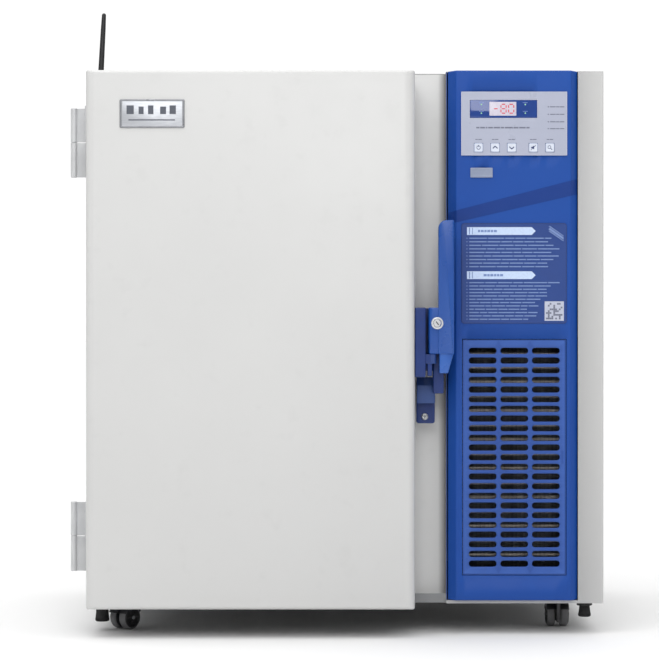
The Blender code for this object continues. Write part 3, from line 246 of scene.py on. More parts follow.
def tiles(rects, y, depth=HAIR):
    """Flat marks on a plate that faces -Y: one thin box for each (x0, z0, x1, z1)."""
    r = np.asarray(rects, float)
    x = r[:, [0, 2, 2, 0]]
    z = r[:, [1, 1, 3, 3]]
    front = np.stack([x, np.full_like(x, y - depth), z], axis=-1)
    behind = front + (0, 2 * depth, 0)
    points = np.concatenate([front, behind], axis=1).reshape(-1, 3)
    box_faces = np.array([[0, 1, 2, 3], [7, 6, 5, 4], [1, 0, 4, 5], [2, 1, 5, 6], [3, 2, 6, 7], [0, 3, 7, 4]])
    faces = (np.arange(len(r))[:, None, None] * 8 + box_faces).reshape(-1, 4).tolist()
    return points, faces


def turned_about(shape, matrix):
    """The shape moved by a 4x4 matrix."""
    points, faces = shape
    m = np.array(matrix)
    return np.asarray(points) @ m[:3, :3].T + m[:3, 3], faces


def piece(name, shape, body, finish, replaces=(), sharp=35.0, bridged=False):
    """Put a shape into a mesh object, merge its seams, close it between its two open edges when it is
    bridged, point its faces outwards, and let it ride."""
    points, faces = shape
    mesh = bpy.data.meshes.new(name)
    mesh.from_pydata(np.asarray(points, float).tolist(), [], faces)
    work = bmesh.new()
    work.from_mesh(mesh)
    bmesh.ops.remove_doubles(work, verts=work.verts, dist=1e-6)
    if bridged:
        bmesh.ops.bridge_loops(work, edges=[edge for edge in work.edges if edge.is_boundary])
    bmesh.ops.recalc_face_normals(work, faces=work.faces)
    work.to_mesh(mesh)
    work.free()
    mesh.shade_smooth()
    mesh.set_sharp_from_angle(angle=math.radians(sharp))
    obj = bpy.data.objects.new(name, mesh)
    bpy.context.scene.collection.objects.link(obj)
    mesh.materials.append(finish)
    if replaces:
        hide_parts(*replaces)
    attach(obj, body)
    return obj


def keep(node, finish):
    """A CAD node that stays as it is takes its finish."""
    obj = frame["nodes"][node]
    if not obj.data.materials:
        obj.data.materials.append(finish)
    for spot in obj.material_slots:
        spot.material = finish



# ---- Finishes -------------------------------------------------------------------------------------
def tone(r, g, b):
    """The linear colour that shows as these 8-bit values."""
    c = np.array([r, g, b]) / 255.0
    linear = np.where(c <= 0.04045, c / 12.92, ((c + 0.055) / 1.055) ** 2.4)
    return (*linear.tolist(), 1.0)


def node(tree, kind, settings=None, **inputs):
    """A node with its settings; an input that is given a socket is linked, any other is set."""
    made = tree.nodes.new(kind)
    for key, value in (settings or {}).items():
        setattr(made, key, value)
    for key, value in inputs.items():
        socket = made.inputs[key.replace("_", " ")]
        if isinstance(value, bpy.types.NodeSocket):
            tree.links.new(value, socket)
        else:
            socket.default_value = value
    return made


def new_finish(name, metallic=0.0, **sockets):
    """A material, its node tree, its shader with the constants set on it, and Object coordinates."""
    material = bpy.data.materials.new(name)
    material.use_nodes = True
    tree = material.node_tree
    shader = next(n for n in tree.nodes if n.type == "BSDF_PRINCIPLED")
    shader.inputs["Metallic"].default_value = metallic
    for key, value in sockets.items():
        shader.inputs[key.replace("_", " ")].default_value = value
    return material, tree, shader, node(tree, "ShaderNodeTexCoord").outputs["Object"]


def noise(tree, where, scale, detail=2.0, stretch=(1.0, 1.0, 1.0)):
    """Grey noise with that many lumps to a metre, drawn out where stretch is under 1."""
    spot = node(tree, "ShaderNodeMapping", Vector=where, Scale=stretch).outputs[0]
    return node(tree, "ShaderNodeTexNoise", Vector=spot, Scale=scale, Detail=detail).outputs[0]


def cells(tree, where, scale, feature="F1"):
    """Distance to the nearest of scattered points, that many to a metre."""
    return node(tree, "ShaderNodeTexVoronoi", {"feature": feature}, Vector=where, Scale=scale).outputs[0]


def spread(tree, value, low, high, start=0.3, end=0.7):
    """The value's span from start to end is spread from low to high."""
    return node(tree, "ShaderNodeMapRange", Value=value, From_Min=start, From_Max=end, To_Min=low,
                To_Max=high).outputs[0]


def blended(tree, amount, a, b):
    """Colour a goes over into b by amount."""
    mix = node(tree, "ShaderNodeMix", {"data_type": "RGBA"})
    for index, value in ((0, amount), (6, a), (7, b)):
        if isinstance(value, bpy.types.NodeSocket):
            tree.links.new(value, mix.inputs[index])
        else:
            mix.inputs[index].default_value = value
    return mix.outputs[2]


def wire_up(tree, shader, colour, roughness, height, depth):
    """Colour, roughness and a bump of that depth in metres go to the shader."""
    bump = node(tree, "ShaderNodeBump", Height=height, Strength=1.0, Distance=depth)
    tree.links.new(colour, shader.inputs["Base Color"])
    tree.links.new(roughness, shader.inputs["Roughness"])
    tree.links.new(bump.outputs[0], shader.inputs["Normal"])


def coat(name, colour, shade, rough, grain, depth, edge=None, lumps=7.0, metallic=0.0,
         stretch=(1.0, 1.0, 1.0), scuff=None, painted_shade=None, **sockets):
    """A smooth finish: the colour drifts to its shade in broad lumps, fine grain gives a bump,
    corners rub through to the edge colour, and sparse patches are scuffed and rougher. A painted shade
    (x where it starts, x where it is full, colour) deepens along X in the object's own frame, darkening the
    paint towards a neighbouring part where its shade falls."""
    material, tree, shader, where = new_finish(name, metallic, **sockets)
    drift = spread(tree, noise(tree, where, lumps, 4.0), 0.0, 1.0)
    fine = noise(tree, where, grain, 2.0, stretch)
    patch = noise(tree, where, 31.0, 6.0)
    base = blended(tree, drift, colour, shade)
    base = blended(tree, spread(tree, patch, 0.0, 0.5, 0.60, 0.74), base, scuff or shade)
    if edge:
        point = node(tree, "ShaderNodeNewGeometry").outputs["Pointiness"]
        base = blended(tree, spread(tree, point, 0.0, 0.55, 0.53, 0.62), base, edge)
    # painted shade: the colour darkens along X towards a neighbouring part, standing in for the shade that
    # part casts
    if painted_shade:
        across = node(tree, "ShaderNodeSeparateXYZ", Vector=where).outputs["X"]
        base = blended(tree, spread(tree, across, 0.0, 1.0, painted_shade[0], painted_shade[1]), base, painted_shade[2])
    wire_up(tree, shader, base, spread(tree, patch, *rough), fine, depth)
    return material


def brushed(name, colour, shade, rough, stretch, metallic=1.0, **sockets):
    """Bright metal with fine scratches drawn out along one axis."""
    material, tree, shader, where = new_finish(name, metallic, **sockets)
    lines = noise(tree, where, 1400.0, 3.0, stretch)
    cloud = noise(tree, where, 12.0, 4.0)
    base = blended(tree, spread(tree, lines, 0.0, 1.0), colour, shade)
    base = blended(tree, spread(tree, cloud, 0.0, 0.35), base, shade)
    wire_up(tree, shader, base, spread(tree, lines, *rough), lines, 0.00002)
    return material


def cellular(name, colour, pit, rough, size, depth):
    """Open-celled foam: round cells whose bottoms are darker, a painted shade in the cell hollows, and slow
    lumps where the tone drifts darker.
    """
    material, tree, shader, where = new_finish(name)
    cell = cells(tree, where, size)
    # darker cell bottoms: painted shade in the hollows of the cells
    base = blended(tree, spread(tree, cell, 1.0, 0.0, 0.1, 0.6), colour, pit)
    base = blended(tree, spread(tree, noise(tree, where, 18.0, 3.0), 0.0, 0.4), base, pit)
    wire_up(tree, shader, base, spread(tree, cell, *rough, 0.1, 0.6), cell, depth)
    return material


def speckled(name, colour, fleck, rough, size, depth, share=0.06):
    """Rubber or cast metal: small flecks of another shade on a pebbled surface."""
    material, tree, shader, where = new_finish(name)
    dot = cells(tree, where, size)
    pebble = noise(tree, where, size * 0.8, 3.0)
    base = blended(tree, spread(tree, dot, 1.0, 0.0, share, share * 3), colour, fleck)
    base = blended(tree, spread(tree, noise(tree, where, 15.0, 4.0), 0.0, 0.3), base, fleck)
    wire_up(tree, shader, base, spread(tree, pebble, *rough), pebble, depth)
    return material


def printed(name, colour, rough=(0.38, 0.5)):
    """Screen print: an even ink with a slightly broken density and a faint screen mesh."""
    material, tree, shader, where = new_finish(name)
    faded = (*(0.8 * c for c in colour[:3]), 1.0)
    density = noise(tree, where, 260.0, 5.0)
    mesh = cells(tree, where, 4200.0)
    base = blended(tree, spread(tree, density, 0.0, 0.6, 0.45, 0.75), colour, faded)
    wire_up(tree, shader, base, spread(tree, density, *rough), mesh, 0.000004)
    return material


def lit(name, colour, rough, strength):
    """A lit segment: its lens glows evenly over a faintly grained surface."""
    material, tree, shader, where = new_finish(name, Emission_Color=colour, Emission_Strength=strength)
    grain = noise(tree, where, 900.0, 2.0)
    dim = (*(0.7 * c for c in colour[:3]), 1.0)
    wire_up(tree, shader, blended(tree, spread(tree, grain, 0.0, 1.0), colour, dim),
            spread(tree, grain, *rough), grain, 0.000004)
    return material


def circuit_board(name):
    """Green solder mask over tracks: tracks lie where a stepped noise crosses its middle."""
    material, tree, shader, where = new_finish(name)
    track = noise(tree, where, 160.0, 0.0, (1.0, 1.0, 0.35))
    copper_under = spread(tree, track, 1.0, 0.0, 0.49, 0.53)
    base = blended(tree, copper_under, tone(20, 74, 40), tone(48, 118, 62))
    pads = cells(tree, where, 190.0)
    base = blended(tree, spread(tree, pads, 1.0, 0.0, 0.14, 0.20), base, tone(200, 196, 180))
    wire_up(tree, shader, base, spread(tree, track, 0.28, 0.42), track, 0.00003)
    return material


def finned(name):
    """Condenser fins: bright aluminium with dust that has settled in slow upright streaks."""
    material, tree, shader, where = new_finish(name, 0.85)
    dust = noise(tree, where, 60.0, 5.0, (1.0, 1.0, 0.15))
    fine = noise(tree, where, 900.0, 3.0, (1.0, 1.0, 0.2))
    base = blended(tree, spread(tree, dust, 0.0, 0.8), tone(170, 174, 180), tone(92, 92, 92))
    wire_up(tree, shader, base, spread(tree, dust, 0.3, 0.62), fine, 0.00004)
    return material


WHITE_COAT = coat("white_powder_coat", tone(207, 207, 206), tone(204, 204, 203), (0.36, 0.46), 850.0,
                  0.00004, edge=tone(150, 150, 150), scuff=tone(201, 201, 200), lumps=3.0)
BASE_COAT = coat("base_rail_coat", tone(138, 139, 140), tone(126, 127, 129), (0.42, 0.55), 850.0, 0.00006,
                 edge=tone(205, 205, 205))
STILE_SHADE_X = (PANEL_LOW[0] - 0.01555, PANEL_LOW[0] - 0.00205)      # where the painted shade beside the moulding starts and where it is full
# the stile's white paint turns grey towards the blue moulding: a painted shade for the corner beside it
STILE_SHADED_COAT = coat("stile_paint_painted_shade", tone(226, 226, 225), tone(222, 222, 221), (0.36, 0.46), 850.0, 0.00004,
                  scuff=tone(219, 219, 218), lumps=3.0, painted_shade=(*STILE_SHADE_X, tone(120, 118, 120)))
BLUE_MOULDING = coat("blue_moulding", tone(21, 74, 158), tone(18, 69, 152), (0.44, 0.56), 2100.0, 0.00004,
                     scuff=tone(22, 76, 160), lumps=4.0, Specular_IOR_Level=0.3)
# the moulding's blue made darker: a painted shade for the slanted step, which faces down
BLUE_STEP_SHADE = coat("blue_step_painted_shade", tone(14, 58, 136), tone(12, 54, 130), (0.44, 0.56), 2100.0, 0.00004,
                 lumps=4.0, Specular_IOR_Level=0.3)
BLUE_GRILLE = coat("blue_grille_moulding", tone(33, 77, 156), tone(29, 70, 148), (0.42, 0.54), 2100.0,
                    0.00004, edge=tone(66, 110, 194), lumps=6.0)
BLUE_HANDLE = coat("blue_handle_moulding", tone(26, 77, 156), tone(22, 70, 148), (0.24, 0.34), 2600.0,
                    0.00002, edge=tone(60, 108, 190), lumps=15.0)
BLUE_METAL = coat("blue_enamelled_steel", tone(10, 46, 112), tone(8, 40, 102), (0.30, 0.42), 950.0, 0.00004,
                  edge=tone(70, 100, 160), lumps=20.0)
FILM = coat("overlay_film", tone(172, 176, 194), tone(167, 172, 190), (0.26, 0.36), 3200.0, 0.00001,
            lumps=12.0)
FILM_RIM = coat("overlay_rim", tone(190, 194, 210), tone(182, 187, 204), (0.22, 0.32), 3200.0, 0.00001)
WINDOW = coat("window_tint", tone(36, 68, 140), tone(32, 62, 132), (0.05, 0.10), 600.0, 0.000004, lumps=40.0,
              Coat_Weight=0.6, Coat_Roughness=0.05)
LED_FIELD = printed("display_field", tone(206, 200, 214), (0.25, 0.35))
LED_RED = lit("display_red", tone(205, 42, 62), (0.2, 0.3), 0.25)
LAMP_GREEN = lit("lamp_green", tone(150, 205, 170), (0.2, 0.3), 0.2)
KEY_FACE = coat("key_face", tone(214, 220, 232), tone(204, 211, 226), (0.26, 0.36), 2800.0, 0.00002,
                edge=tone(232, 236, 244), lumps=60.0)
KEY_RIM = coat("key_rim", tone(120, 140, 184), tone(108, 128, 174), (0.3, 0.4), 2800.0, 0.00002, lumps=60.0)
PRINT_PALE = printed("pale_print", tone(116, 140, 190))
PRINT_WHITE = printed("white_print", tone(196, 214, 242))
PRINT_DIM = printed("dim_print", tone(118, 144, 200))
PRINT_GREY = printed("grey_print", tone(112, 116, 134))
PRINT_DARK = printed("dark_print", tone(38, 54, 104))
NOTICE_FIELD = coat("notice_plate_film", tone(34, 66, 134), tone(30, 61, 128), (0.30, 0.40), 3000.0, 0.00001,
                    lumps=10.0)
GREY_COVER = coat("grey_cover", tone(140, 149, 172), tone(132, 141, 165), (0.36, 0.46), 2000.0, 0.00003,
                  edge=tone(196, 201, 214), lumps=50.0)
BOARD = circuit_board("circuit_board")
STEEL = brushed("brushed_steel", tone(196, 198, 200), tone(158, 161, 164), (0.26, 0.42), (0.04, 1.0, 1.0))
SCREW_STEEL = brushed("screw_steel", tone(190, 192, 194), tone(140, 142, 146), (0.22, 0.36), (1.0, 0.3, 0.3))
LOCK_PLATING = coat("lock_plating", tone(214, 215, 218), tone(190, 192, 196), (0.22, 0.34), 1500.0, 0.00002,
                    edge=tone(236, 236, 238), lumps=120.0, metallic=0.3)
HINGE_CAST = coat("hinge_casting", tone(206, 207, 208), tone(194, 195, 197), (0.32, 0.46), 1500.0, 0.00006,
                  edge=tone(220, 221, 222), metallic=0.25, lumps=30.0)
BADGE_FACE = brushed("badge_face", tone(206, 208, 212), tone(182, 185, 191), (0.28, 0.42), (0.05, 1.0, 1.0),
                     metallic=0.65)
BADGE_RIM = coat("badge_rim", tone(150, 152, 156), tone(128, 130, 134), (0.26, 0.4), 1800.0, 0.00003,
                 edge=tone(150, 153, 160), lumps=60.0, metallic=0.5)
BADGE_PRINT = printed("badge_print", tone(84, 88, 98))
FOAM = cellular("insulating_foam", tone(226, 206, 150), tone(182, 156, 98), (0.8, 0.95), 900.0, 0.0004)
FILTER_FOAM = cellular("filter_foam", tone(34, 35, 38), tone(8, 8, 9), (0.85, 0.98), 700.0, 0.0008)
GASKET = speckled("gasket_rubber", tone(150, 153, 156), tone(128, 131, 135), (0.55, 0.7), 1500.0, 0.00005)
INNER_WHITE = coat("inner_door_moulding", tone(232, 234, 236), tone(224, 227, 230), (0.30, 0.42), 1300.0,
                   0.00004, edge=tone(244, 245, 246), lumps=5.0)
BLACK_PLASTIC = coat("black_moulding", tone(26, 26, 28), tone(34, 34, 36), (0.34, 0.5), 1900.0, 0.00006,
                     edge=tone(78, 78, 82), lumps=30.0)
TREAD = speckled("grey_tread", tone(128, 128, 130), tone(98, 98, 100), (0.5, 0.7), 1300.0, 0.0001)
RIBBED_RUBBER = speckled("foot_rubber", tone(24, 24, 25), tone(44, 44, 45), (0.55, 0.75), 1300.0, 0.0001)
FINS = finned("condenser_fins")
ENAMEL = coat("compressor_enamel", tone(22, 22, 24), tone(32, 32, 34), (0.24, 0.4), 700.0, 0.0001,
              edge=tone(70, 70, 72), lumps=16.0)
COPPER = brushed("copper_tube", tone(200, 126, 88), tone(142, 82, 56), (0.24, 0.44), (1.0, 1.0, 0.2))
COPPER_DULL = brushed("tinned_tube", tone(206, 200, 194), tone(150, 140, 130), (0.3, 0.5), (1.0, 1.0, 0.2))
MOTOR_GREY = speckled("motor_casting", tone(122, 124, 126), tone(96, 98, 100), (0.45, 0.6), 900.0, 0.0001)


# ---- Outer door -------------------------------------------------------------------------------------
def door_skin():
    """The painted shell: four round-cornered rings; it bends over the front edges and runs back
    along the sides, open behind, and Solidify gives it the thickness of its sheet."""
    (x0, y0, z0), (x1, y1, z1) = DOOR_LOW, DOOR_HIGH
    edge = np.radians(np.linspace(0, 90, 8))
    radius_x, radius_z = 0.0160, 0.0060
    rings = []
    for a in edge:
        inset_x, inset_z = radius_x * (1 - math.sin(a)), radius_z * (1 - math.sin(a))
        flat = round_rectangle(x0 + inset_x, z0 + inset_z, x1 - inset_x, z1 - inset_z, 0.004, 6)
        rings.append(np.column_stack([flat[:, 0], np.full(len(flat), y0 + radius_x * (1 - math.cos(a))),
                                      flat[:, 1]]))
    last = rings[-1].copy()
    last[:, 1] = y1
    shape = stacked(rings + [last], True, False)
    skin = piece("door_outer_skin", shape, "outer_door", WHITE_COAT, ["door_skin"])
    wall = skin.modifiers.new("sheet", "SOLIDIFY")
    wall.thickness, wall.offset = 0.0012, -1.0
    door_foam()


def door_foam():
    """The foam that fills the shell: rings whose inset falls from one radius to nothing as the sine
    rises, so that its front corners follow the bend of the skin; flat in front and behind."""
    (x0, y0, z0), (x1, y1, z1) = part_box("door_foam")
    radius_x, radius_z = 0.0155, 0.0060
    rings = []
    for a in np.radians(np.linspace(0, 90, 8)):
        inset_x, inset_z = radius_x * (1 - math.sin(a)), radius_z * (1 - math.sin(a))
        flat = round_rectangle(x0 + inset_x, z0 + inset_z, x1 - inset_x, z1 - inset_z, 0.003, 6)
        rings.append(np.column_stack([flat[:, 0], np.full(len(flat), y0 + radius_x * (1 - math.cos(a))),
                                      flat[:, 1]]))
    last = rings[-1].copy()
    last[:, 1] = y1
    piece("door_foam_core", stacked(rings + [last]), "outer_door", FOAM, ["door_foam"])


def door_liner():
    """The moulded inside of the door: a flange, then steps that rise with round edges to a plateau
    and dish a little in the middle."""
    low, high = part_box("door_liner")
    x0, z0, x1, z1 = low[0], low[2], high[0], high[2]
    back, top = high[1] - low[1], high[1]
    rings = [(0.0, low[1], 0.008), (0.0, low[1] + 0.003, 0.008), (0.0465, low[1] + 0.003, 0.014),
             (0.0472, low[1] + 0.0036, 0.014), (0.0480, low[1] + back * 0.55, 0.016),
             (0.0500, low[1] + back * 0.85, 0.018), (0.0540, top - 0.0006, 0.020), (0.0580, top, 0.022),
             (0.0800, top, 0.030), (0.0830, top - 0.0016, 0.030), (0.0900, top - 0.0022, 0.030)]
    piece("door_moulded_liner", terraced((x0, z0, x1, z1), rings[::-1], 6), "outer_door", INNER_WHITE,
          ["door_liner"])


def door_gasket():
    """The bellows seal: a closed profile with two folds and a magnet strip, carried round the door."""
    low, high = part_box("door_gasket")
    deep, wide = high[1] - low[1], 0.024
    share = [(0.00, 0.10), (0.16, 0.34), (0.04, 0.50), (0.18, 0.66), (0.02, 0.80), (0.02, 0.97),
             (0.10, 1.00), (0.90, 1.00), (0.98, 0.97), (0.98, 0.80), (0.82, 0.66), (0.96, 0.50),
             (0.84, 0.34), (1.00, 0.10), (0.96, 0.00), (0.04, 0.00)]
    profile = [(a * wide, low[1] + b * deep) for a, b in share]
    piece("door_bellows_gasket", framed((low[0], low[2], high[0], high[2]), profile, 0.012, 6), "outer_door",
          GASKET, ["door_gasket"], 28)


def door_badge():
    """A plain plate with a dark bevelled rim; bars stand in for what is printed on it."""
    low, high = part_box("badge_plate")
    rect = (low[0], low[2], high[0], high[2])
    y0, y1 = low[1], high[1]
    rim = [(0.0, y1), (0.0, y0 + 0.0009), (0.0004, y0 + 0.0003), (0.0010, y0), (0.0022, y0),
           (0.0034, y0 + 0.0006), (0.0034, y1)]
    piece("badge_rim", framed(rect, rim, 0.0022), "outer_door", BADGE_RIM, ["badge_plate"])
    face = [(0.0034, y1, 0.001), (0.0034, y0 + 0.0006, 0.001), (0.0040, y0 + 0.0004, 0.001)]
    piece("badge_face", terraced(rect, face[::-1]), "outer_door", BADGE_FACE)
    x, z = low[0], low[2]
    marks = [(x + 0.012 + 0.0185 * i, z + 0.0235, x + 0.0245 + 0.0185 * i, z + 0.0385) for i in range(5)]
    marks += [(x + 0.013, z + 0.0125, x + 0.0985, z + 0.0165)]
    marks = [(a + 0.0022 * (i % 2), b, c - 0.0016 * (i % 3), d - 0.002 * (i % 2))
             for i, (a, b, c, d) in enumerate(marks)]
    piece("badge_bars", tiles(marks, y0 + 0.0004), "outer_door", BADGE_PRINT)


def screw_head(centre, radius, rise, axis="Y", sign=-1.0):
    """A pan head with a crossed recess: its profile is a quarter of an ellipse, and the recess is
    sunk as a cone whose depth falls off away from two crossed lines."""
    rings, sides = 9, 32
    angle = np.arange(sides) * 2 * math.pi / sides
    share = np.linspace(0.0, 1.0, rings)
    r = radius * np.sin(share * math.pi / 2)
    height = rise * np.sqrt(np.maximum(1 - (r / radius) ** 2, 0.0)) ** 0.8
    x = np.outer(r, np.cos(angle))
    y = np.outer(r, np.sin(angle))
    cross = np.minimum(np.abs(x), np.abs(y)) / (radius * 0.16)
    reach = np.hypot(x, y) / (radius * 0.62)
    sunk = rise * 0.55 * np.clip(1 - cross, 0, 1) * np.clip(1.6 * (1 - reach), 0, 1)
    h = height[:, None] - sunk
    foot = np.zeros(sides)
    rows = list(zip(x, y, h))[::-1]
    rows = [(rows[0][0], rows[0][1], foot - rise * 0.6)] + rows
    first = {"Y": 1, "X": 0, "Z": 2}[axis]
    order = [(first + 1) % 3, (first + 2) % 3]
    made = np.zeros((len(rows), sides, 3))
    for k, (a, b, c) in enumerate(rows):
        made[k, :, order[0]], made[k, :, order[1]], made[k, :, first] = a, b, sign * c
    return stacked(made + np.asarray(centre, float), True, False)


def hinge(level):
    """Two cast leaves on one pin: round-edged arms and flanges, a barrel with chamfered knuckles,
    a pin head above and countersunk-looking screws on the flanges."""
    for node_name, body in (("hinge_cabinet_" + level, "cabinet"), ("hinge_door_" + level, "outer_door")):
        low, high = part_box(node_name)
        axis = JOINTS["door_swing"]["pos_m"]
        radius = axis[0] - low[0]
        z0, z1 = low[2], high[2]
        if body == "cabinet":
            z1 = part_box("hinge_door_" + level)[0][2] - 0.0003
        chamfer = 0.0009
        barrel = [(0.0, z0), (radius - chamfer, z0), (radius, z0 + chamfer), (radius, z1 - chamfer),
                  (radius - chamfer, z1), (0.0, z1)]
        parts = [lathe(barrel, (axis[0], axis[1], 0.0), "Z", 40)]
        flange_x = high[0] - 0.003
        parts.append(block((axis[0] + radius - 0.002, axis[1] - 0.0015, z0 + 0.0004),
                           (high[0], axis[1] + 0.0015, z1 - 0.0004), 0.0007))
        parts.append(block((flange_x, low[1] if body == "outer_door" else axis[1] - 0.0015, z0),
                           (high[0], high[1] if body == "cabinet" else axis[1] + 0.0015, z1), 0.0009))
        if body == "outer_door":
            cap = [(0.0, z1 + 0.0001), (0.0044, z1 + 0.0001), (0.0046, z1 - 0.0012), (0.0, z1 - 0.0012)]
            parts.append(lathe(cap, (axis[0], axis[1], 0.0), "Z", 32))
        piece("hinge_leaf_" + body + "_" + level, joined(*parts), body, HINGE_CAST, [node_name])
        far = low[1] + 0.012 if body == "outer_door" else high[1] - 0.016
        near = axis[1] - 0.016 if body == "outer_door" else axis[1] + 0.022
        heads = [screw_head((flange_x, y, z0 + (z1 - z0) * share), 0.0042, 0.0016, "X")
                 for y in (near, far) for share in (0.24, 0.76)]
        piece("hinge_screws_" + body + "_" + level, joined(*heads), body, SCREW_STEEL)


# ---- Control panel -----------------------------------------------------------------------------------
BAND_LEFT = (0.7365, 0.0195)          # upper edge of the slanted step and its drop, at the panel's left
BAND_RIGHT = (0.7952, 0.0256)         # and at its right
CHAMFER = 0.0128
FACE_UPPER = FRONT + 0.050
FACE_LOWER = FRONT + 0.056
FACE_EDGE = FRONT + 0.067
STEP_SHADE_T = 0.00012                # painted shade: a darker copy of the moulding's blue, a hair in front of the slanted step that faces down


def softened(share, blur):
    """0 below 0 and 1 above 1, with both corners of the ramp rounded by averaging shifted ramps."""
    return np.mean([np.clip(share + k * blur, 0.0, 1.0) for k in np.linspace(-1, 1, 9)], axis=0)


def panel_holes():
    """Openings through the panel as (x0, z0, x1, z1): air grille, display, keys and port."""
    window = (WINDOW_LOW[0] - 0.0003, WINDOW_LOW[2] - 0.0003, WINDOW_HIGH[0] + 0.0003,
              WINDOW_HIGH[2] + 0.0003)
    grille = (GRILLE_LOW[0] - 0.0012, GRILLE_LOW[2] - 0.0012, GRILLE_HIGH[0] + 0.0012,
              GRILLE_HIGH[2] + 0.0012)
    port_low, port_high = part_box("port_cover")
    port = (port_low[0] + 0.007, port_low[2] + 0.0035, port_high[0] - 0.007, port_high[2] - 0.0035)
    keys = []
    for name in KEYS:
        low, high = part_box("key_" + name)
        keys.append((low[0] - 0.0004, low[2] - 0.0004, high[0] + 0.0004, high[2] + 0.0004))
    return [grille, window, port] + keys


KEYS = ["set", "up", "down", "mute", "view"]


def front_panel():
    """The blue moulding as one height field over X and Z. Rows of points follow the slanted step;
    Y runs from the chamfer's edge to the face, by a ramp with round corners, and from the lower face
    to the upper one by another; both outer edges fold back, and cells inside an opening are left out.
    The step's own rows are used again, a paint's thickness in front, for a darker copy of the blue that
    paints the shade of the downward-facing step."""
    x0, x1, z0, z1 = PANEL_LOW[0], PANEL_HIGH[0], PANEL_LOW[2], PANEL_HIGH[2]
    holes = panel_holes()
    fine = np.array([0.0, 0.0004, 0.0012, 0.004, 0.0075, 0.0105, 0.0118, CHAMFER, 0.0138, 0.0150])
    xs = np.concatenate([x0 + fine, x1 - fine] + [[h[0], h[2]] for h in holes] + [[(x0 + x1) / 2]])
    xs = np.unique(np.round(xs, 6))
    roll = 0.0030 * (1 - np.sin(np.radians([0, 22, 45, 68, 90])))
    below = np.concatenate([z0 + roll, [holes[0][1], holes[0][3], 0.56]])
    above = np.concatenate([[0.7975], [h[k] for h in holes[1:] for k in (1, 3)], z1 - roll])
    low_rows = np.unique(np.round(below, 6))
    high_rows = np.unique(np.round(above, 6))
    share = (xs - x0) / (x1 - x0)
    top = BAND_LEFT[0] + (BAND_RIGHT[0] - BAND_LEFT[0]) * share
    foot = top - (BAND_LEFT[1] + (BAND_RIGHT[1] - BAND_LEFT[1]) * share)
    across = np.array([-0.14, -0.07, 0.0, 0.07, 0.14, 0.5, 0.86, 0.93, 1.0, 1.045, 1.08])
    band = foot + across[:, None] * (top - foot)
    z = np.concatenate([np.repeat(low_rows[:, None], len(xs), axis=1), band,
                        np.repeat(high_rows[:, None], len(xs), axis=1)])
    x = np.repeat(xs[None, :], len(z), axis=0)
    step = softened((z - foot) / (top - foot), 0.07)
    face = FACE_LOWER + (FACE_UPPER - FACE_LOWER) * step
    near = np.minimum(x - x0, x1 - x)
    y = FACE_EDGE + (face - FACE_EDGE) * softened(near / CHAMFER - 0.06, 0.07)
    end = np.clip(np.minimum(z - z0, z1 - z) / 0.0030, 0.0, 1.0)
    y += 0.0030 * (1 - np.sqrt(1 - (1 - end) ** 2))
    side = np.clip(near / 0.0012, 0.0, 1.0)
    y += 0.0012 * (1 - np.sqrt(1 - (1 - side) ** 2))
    y = np.minimum(y, PANEL_HIGH[1] - 0.0006)
    x, y, z = (np.pad(a, 1, mode="edge") for a in (x, y, z))
    y[0], y[-1], y[:, 0], y[:, -1] = (PANEL_HIGH[1],) * 4
    points = np.stack([x, y, z], axis=-1).reshape(-1, 3)
    quads = np.array(strips(z.shape[0], z.shape[1], closed=False))
    middle = points[quads].mean(axis=1)
    kept = np.ones(len(quads), bool)
    for a, b, c, d in holes:
        kept &= ~((middle[:, 0] > a) & (middle[:, 0] < c) & (middle[:, 2] > b) & (middle[:, 2] < d))
    panel = piece("front_moulding", (points, quads[kept].tolist()), "cabinet", BLUE_MOULDING,
                  ["front_panel"], 30)
    wall = panel.modifiers.new("wall", "SOLIDIFY")
    wall.thickness, wall.offset = 0.0022, -1.0
    foot_row = len(low_rows) + 3          # past the padded row and the two rows under the step's foot
    rows, columns = slice(foot_row, foot_row + 8), slice(1, len(xs) + 1)
    # the step's rows again, a hair in front, in the darker blue: painted shade on the step
    field = np.stack([x[rows, columns], y[rows, columns] - STEP_SHADE_T, z[rows, columns]], axis=-1)
    shaded_step = (field.reshape(-1, 3), strips(*field.shape[:2], closed=False))
    piece("panel_step_painted_shade", shaded_step, "cabinet", BLUE_STEP_SHADE, sharp=30)
    piece("panel_side_skirt", panel_skirt(), "cabinet", BLUE_MOULDING)


def panel_skirt():
    """The moulding's side return, which closes the gap between the panel's edge and the cabinet front."""
    x = PANEL_LOW[0] - 0.0019
    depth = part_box("chamber_front")[0][1]
    return block((x - 0.0009, PANEL_HIGH[1] + 0.0002, PANEL_LOW[2]),
                 (x - 0.0001, depth - 0.0002, PANEL_HIGH[2] - 0.0004), 0.0003)


def mark(outline, y):
    """A thin printed shape on a plate that faces -Y."""
    outline = np.asarray(outline, float)
    rings = [np.column_stack([outline[:, 0], np.full(len(outline), y + d), outline[:, 1]])
             for d in (-HAIR, HAIR)]
    return stacked(rings)


def ring_mark(x, z, radius, width, y):
    """A thin printed ring."""
    profile = [(radius, y - HAIR), (radius + width, y - HAIR), (radius + width, y + HAIR), (radius, y + HAIR)]
    return lathe(profile, (x, 0.0, z), "Y", 32)


def bar_mark(x0, z0, x1, z1, width, y):
    """A thin printed bar from one point to another."""
    along = np.array([x1 - x0, z1 - z0])
    across = np.array([-along[1], along[0]]) / np.hypot(*along) * width / 2
    a, b = np.array([x0, z0]), np.array([x1, z1])
    return mark([a - across, b - across, b + across, a + across], y)


SEGMENTS = {"-": "g", "8": "abcdefg", "0": "abcdef"}


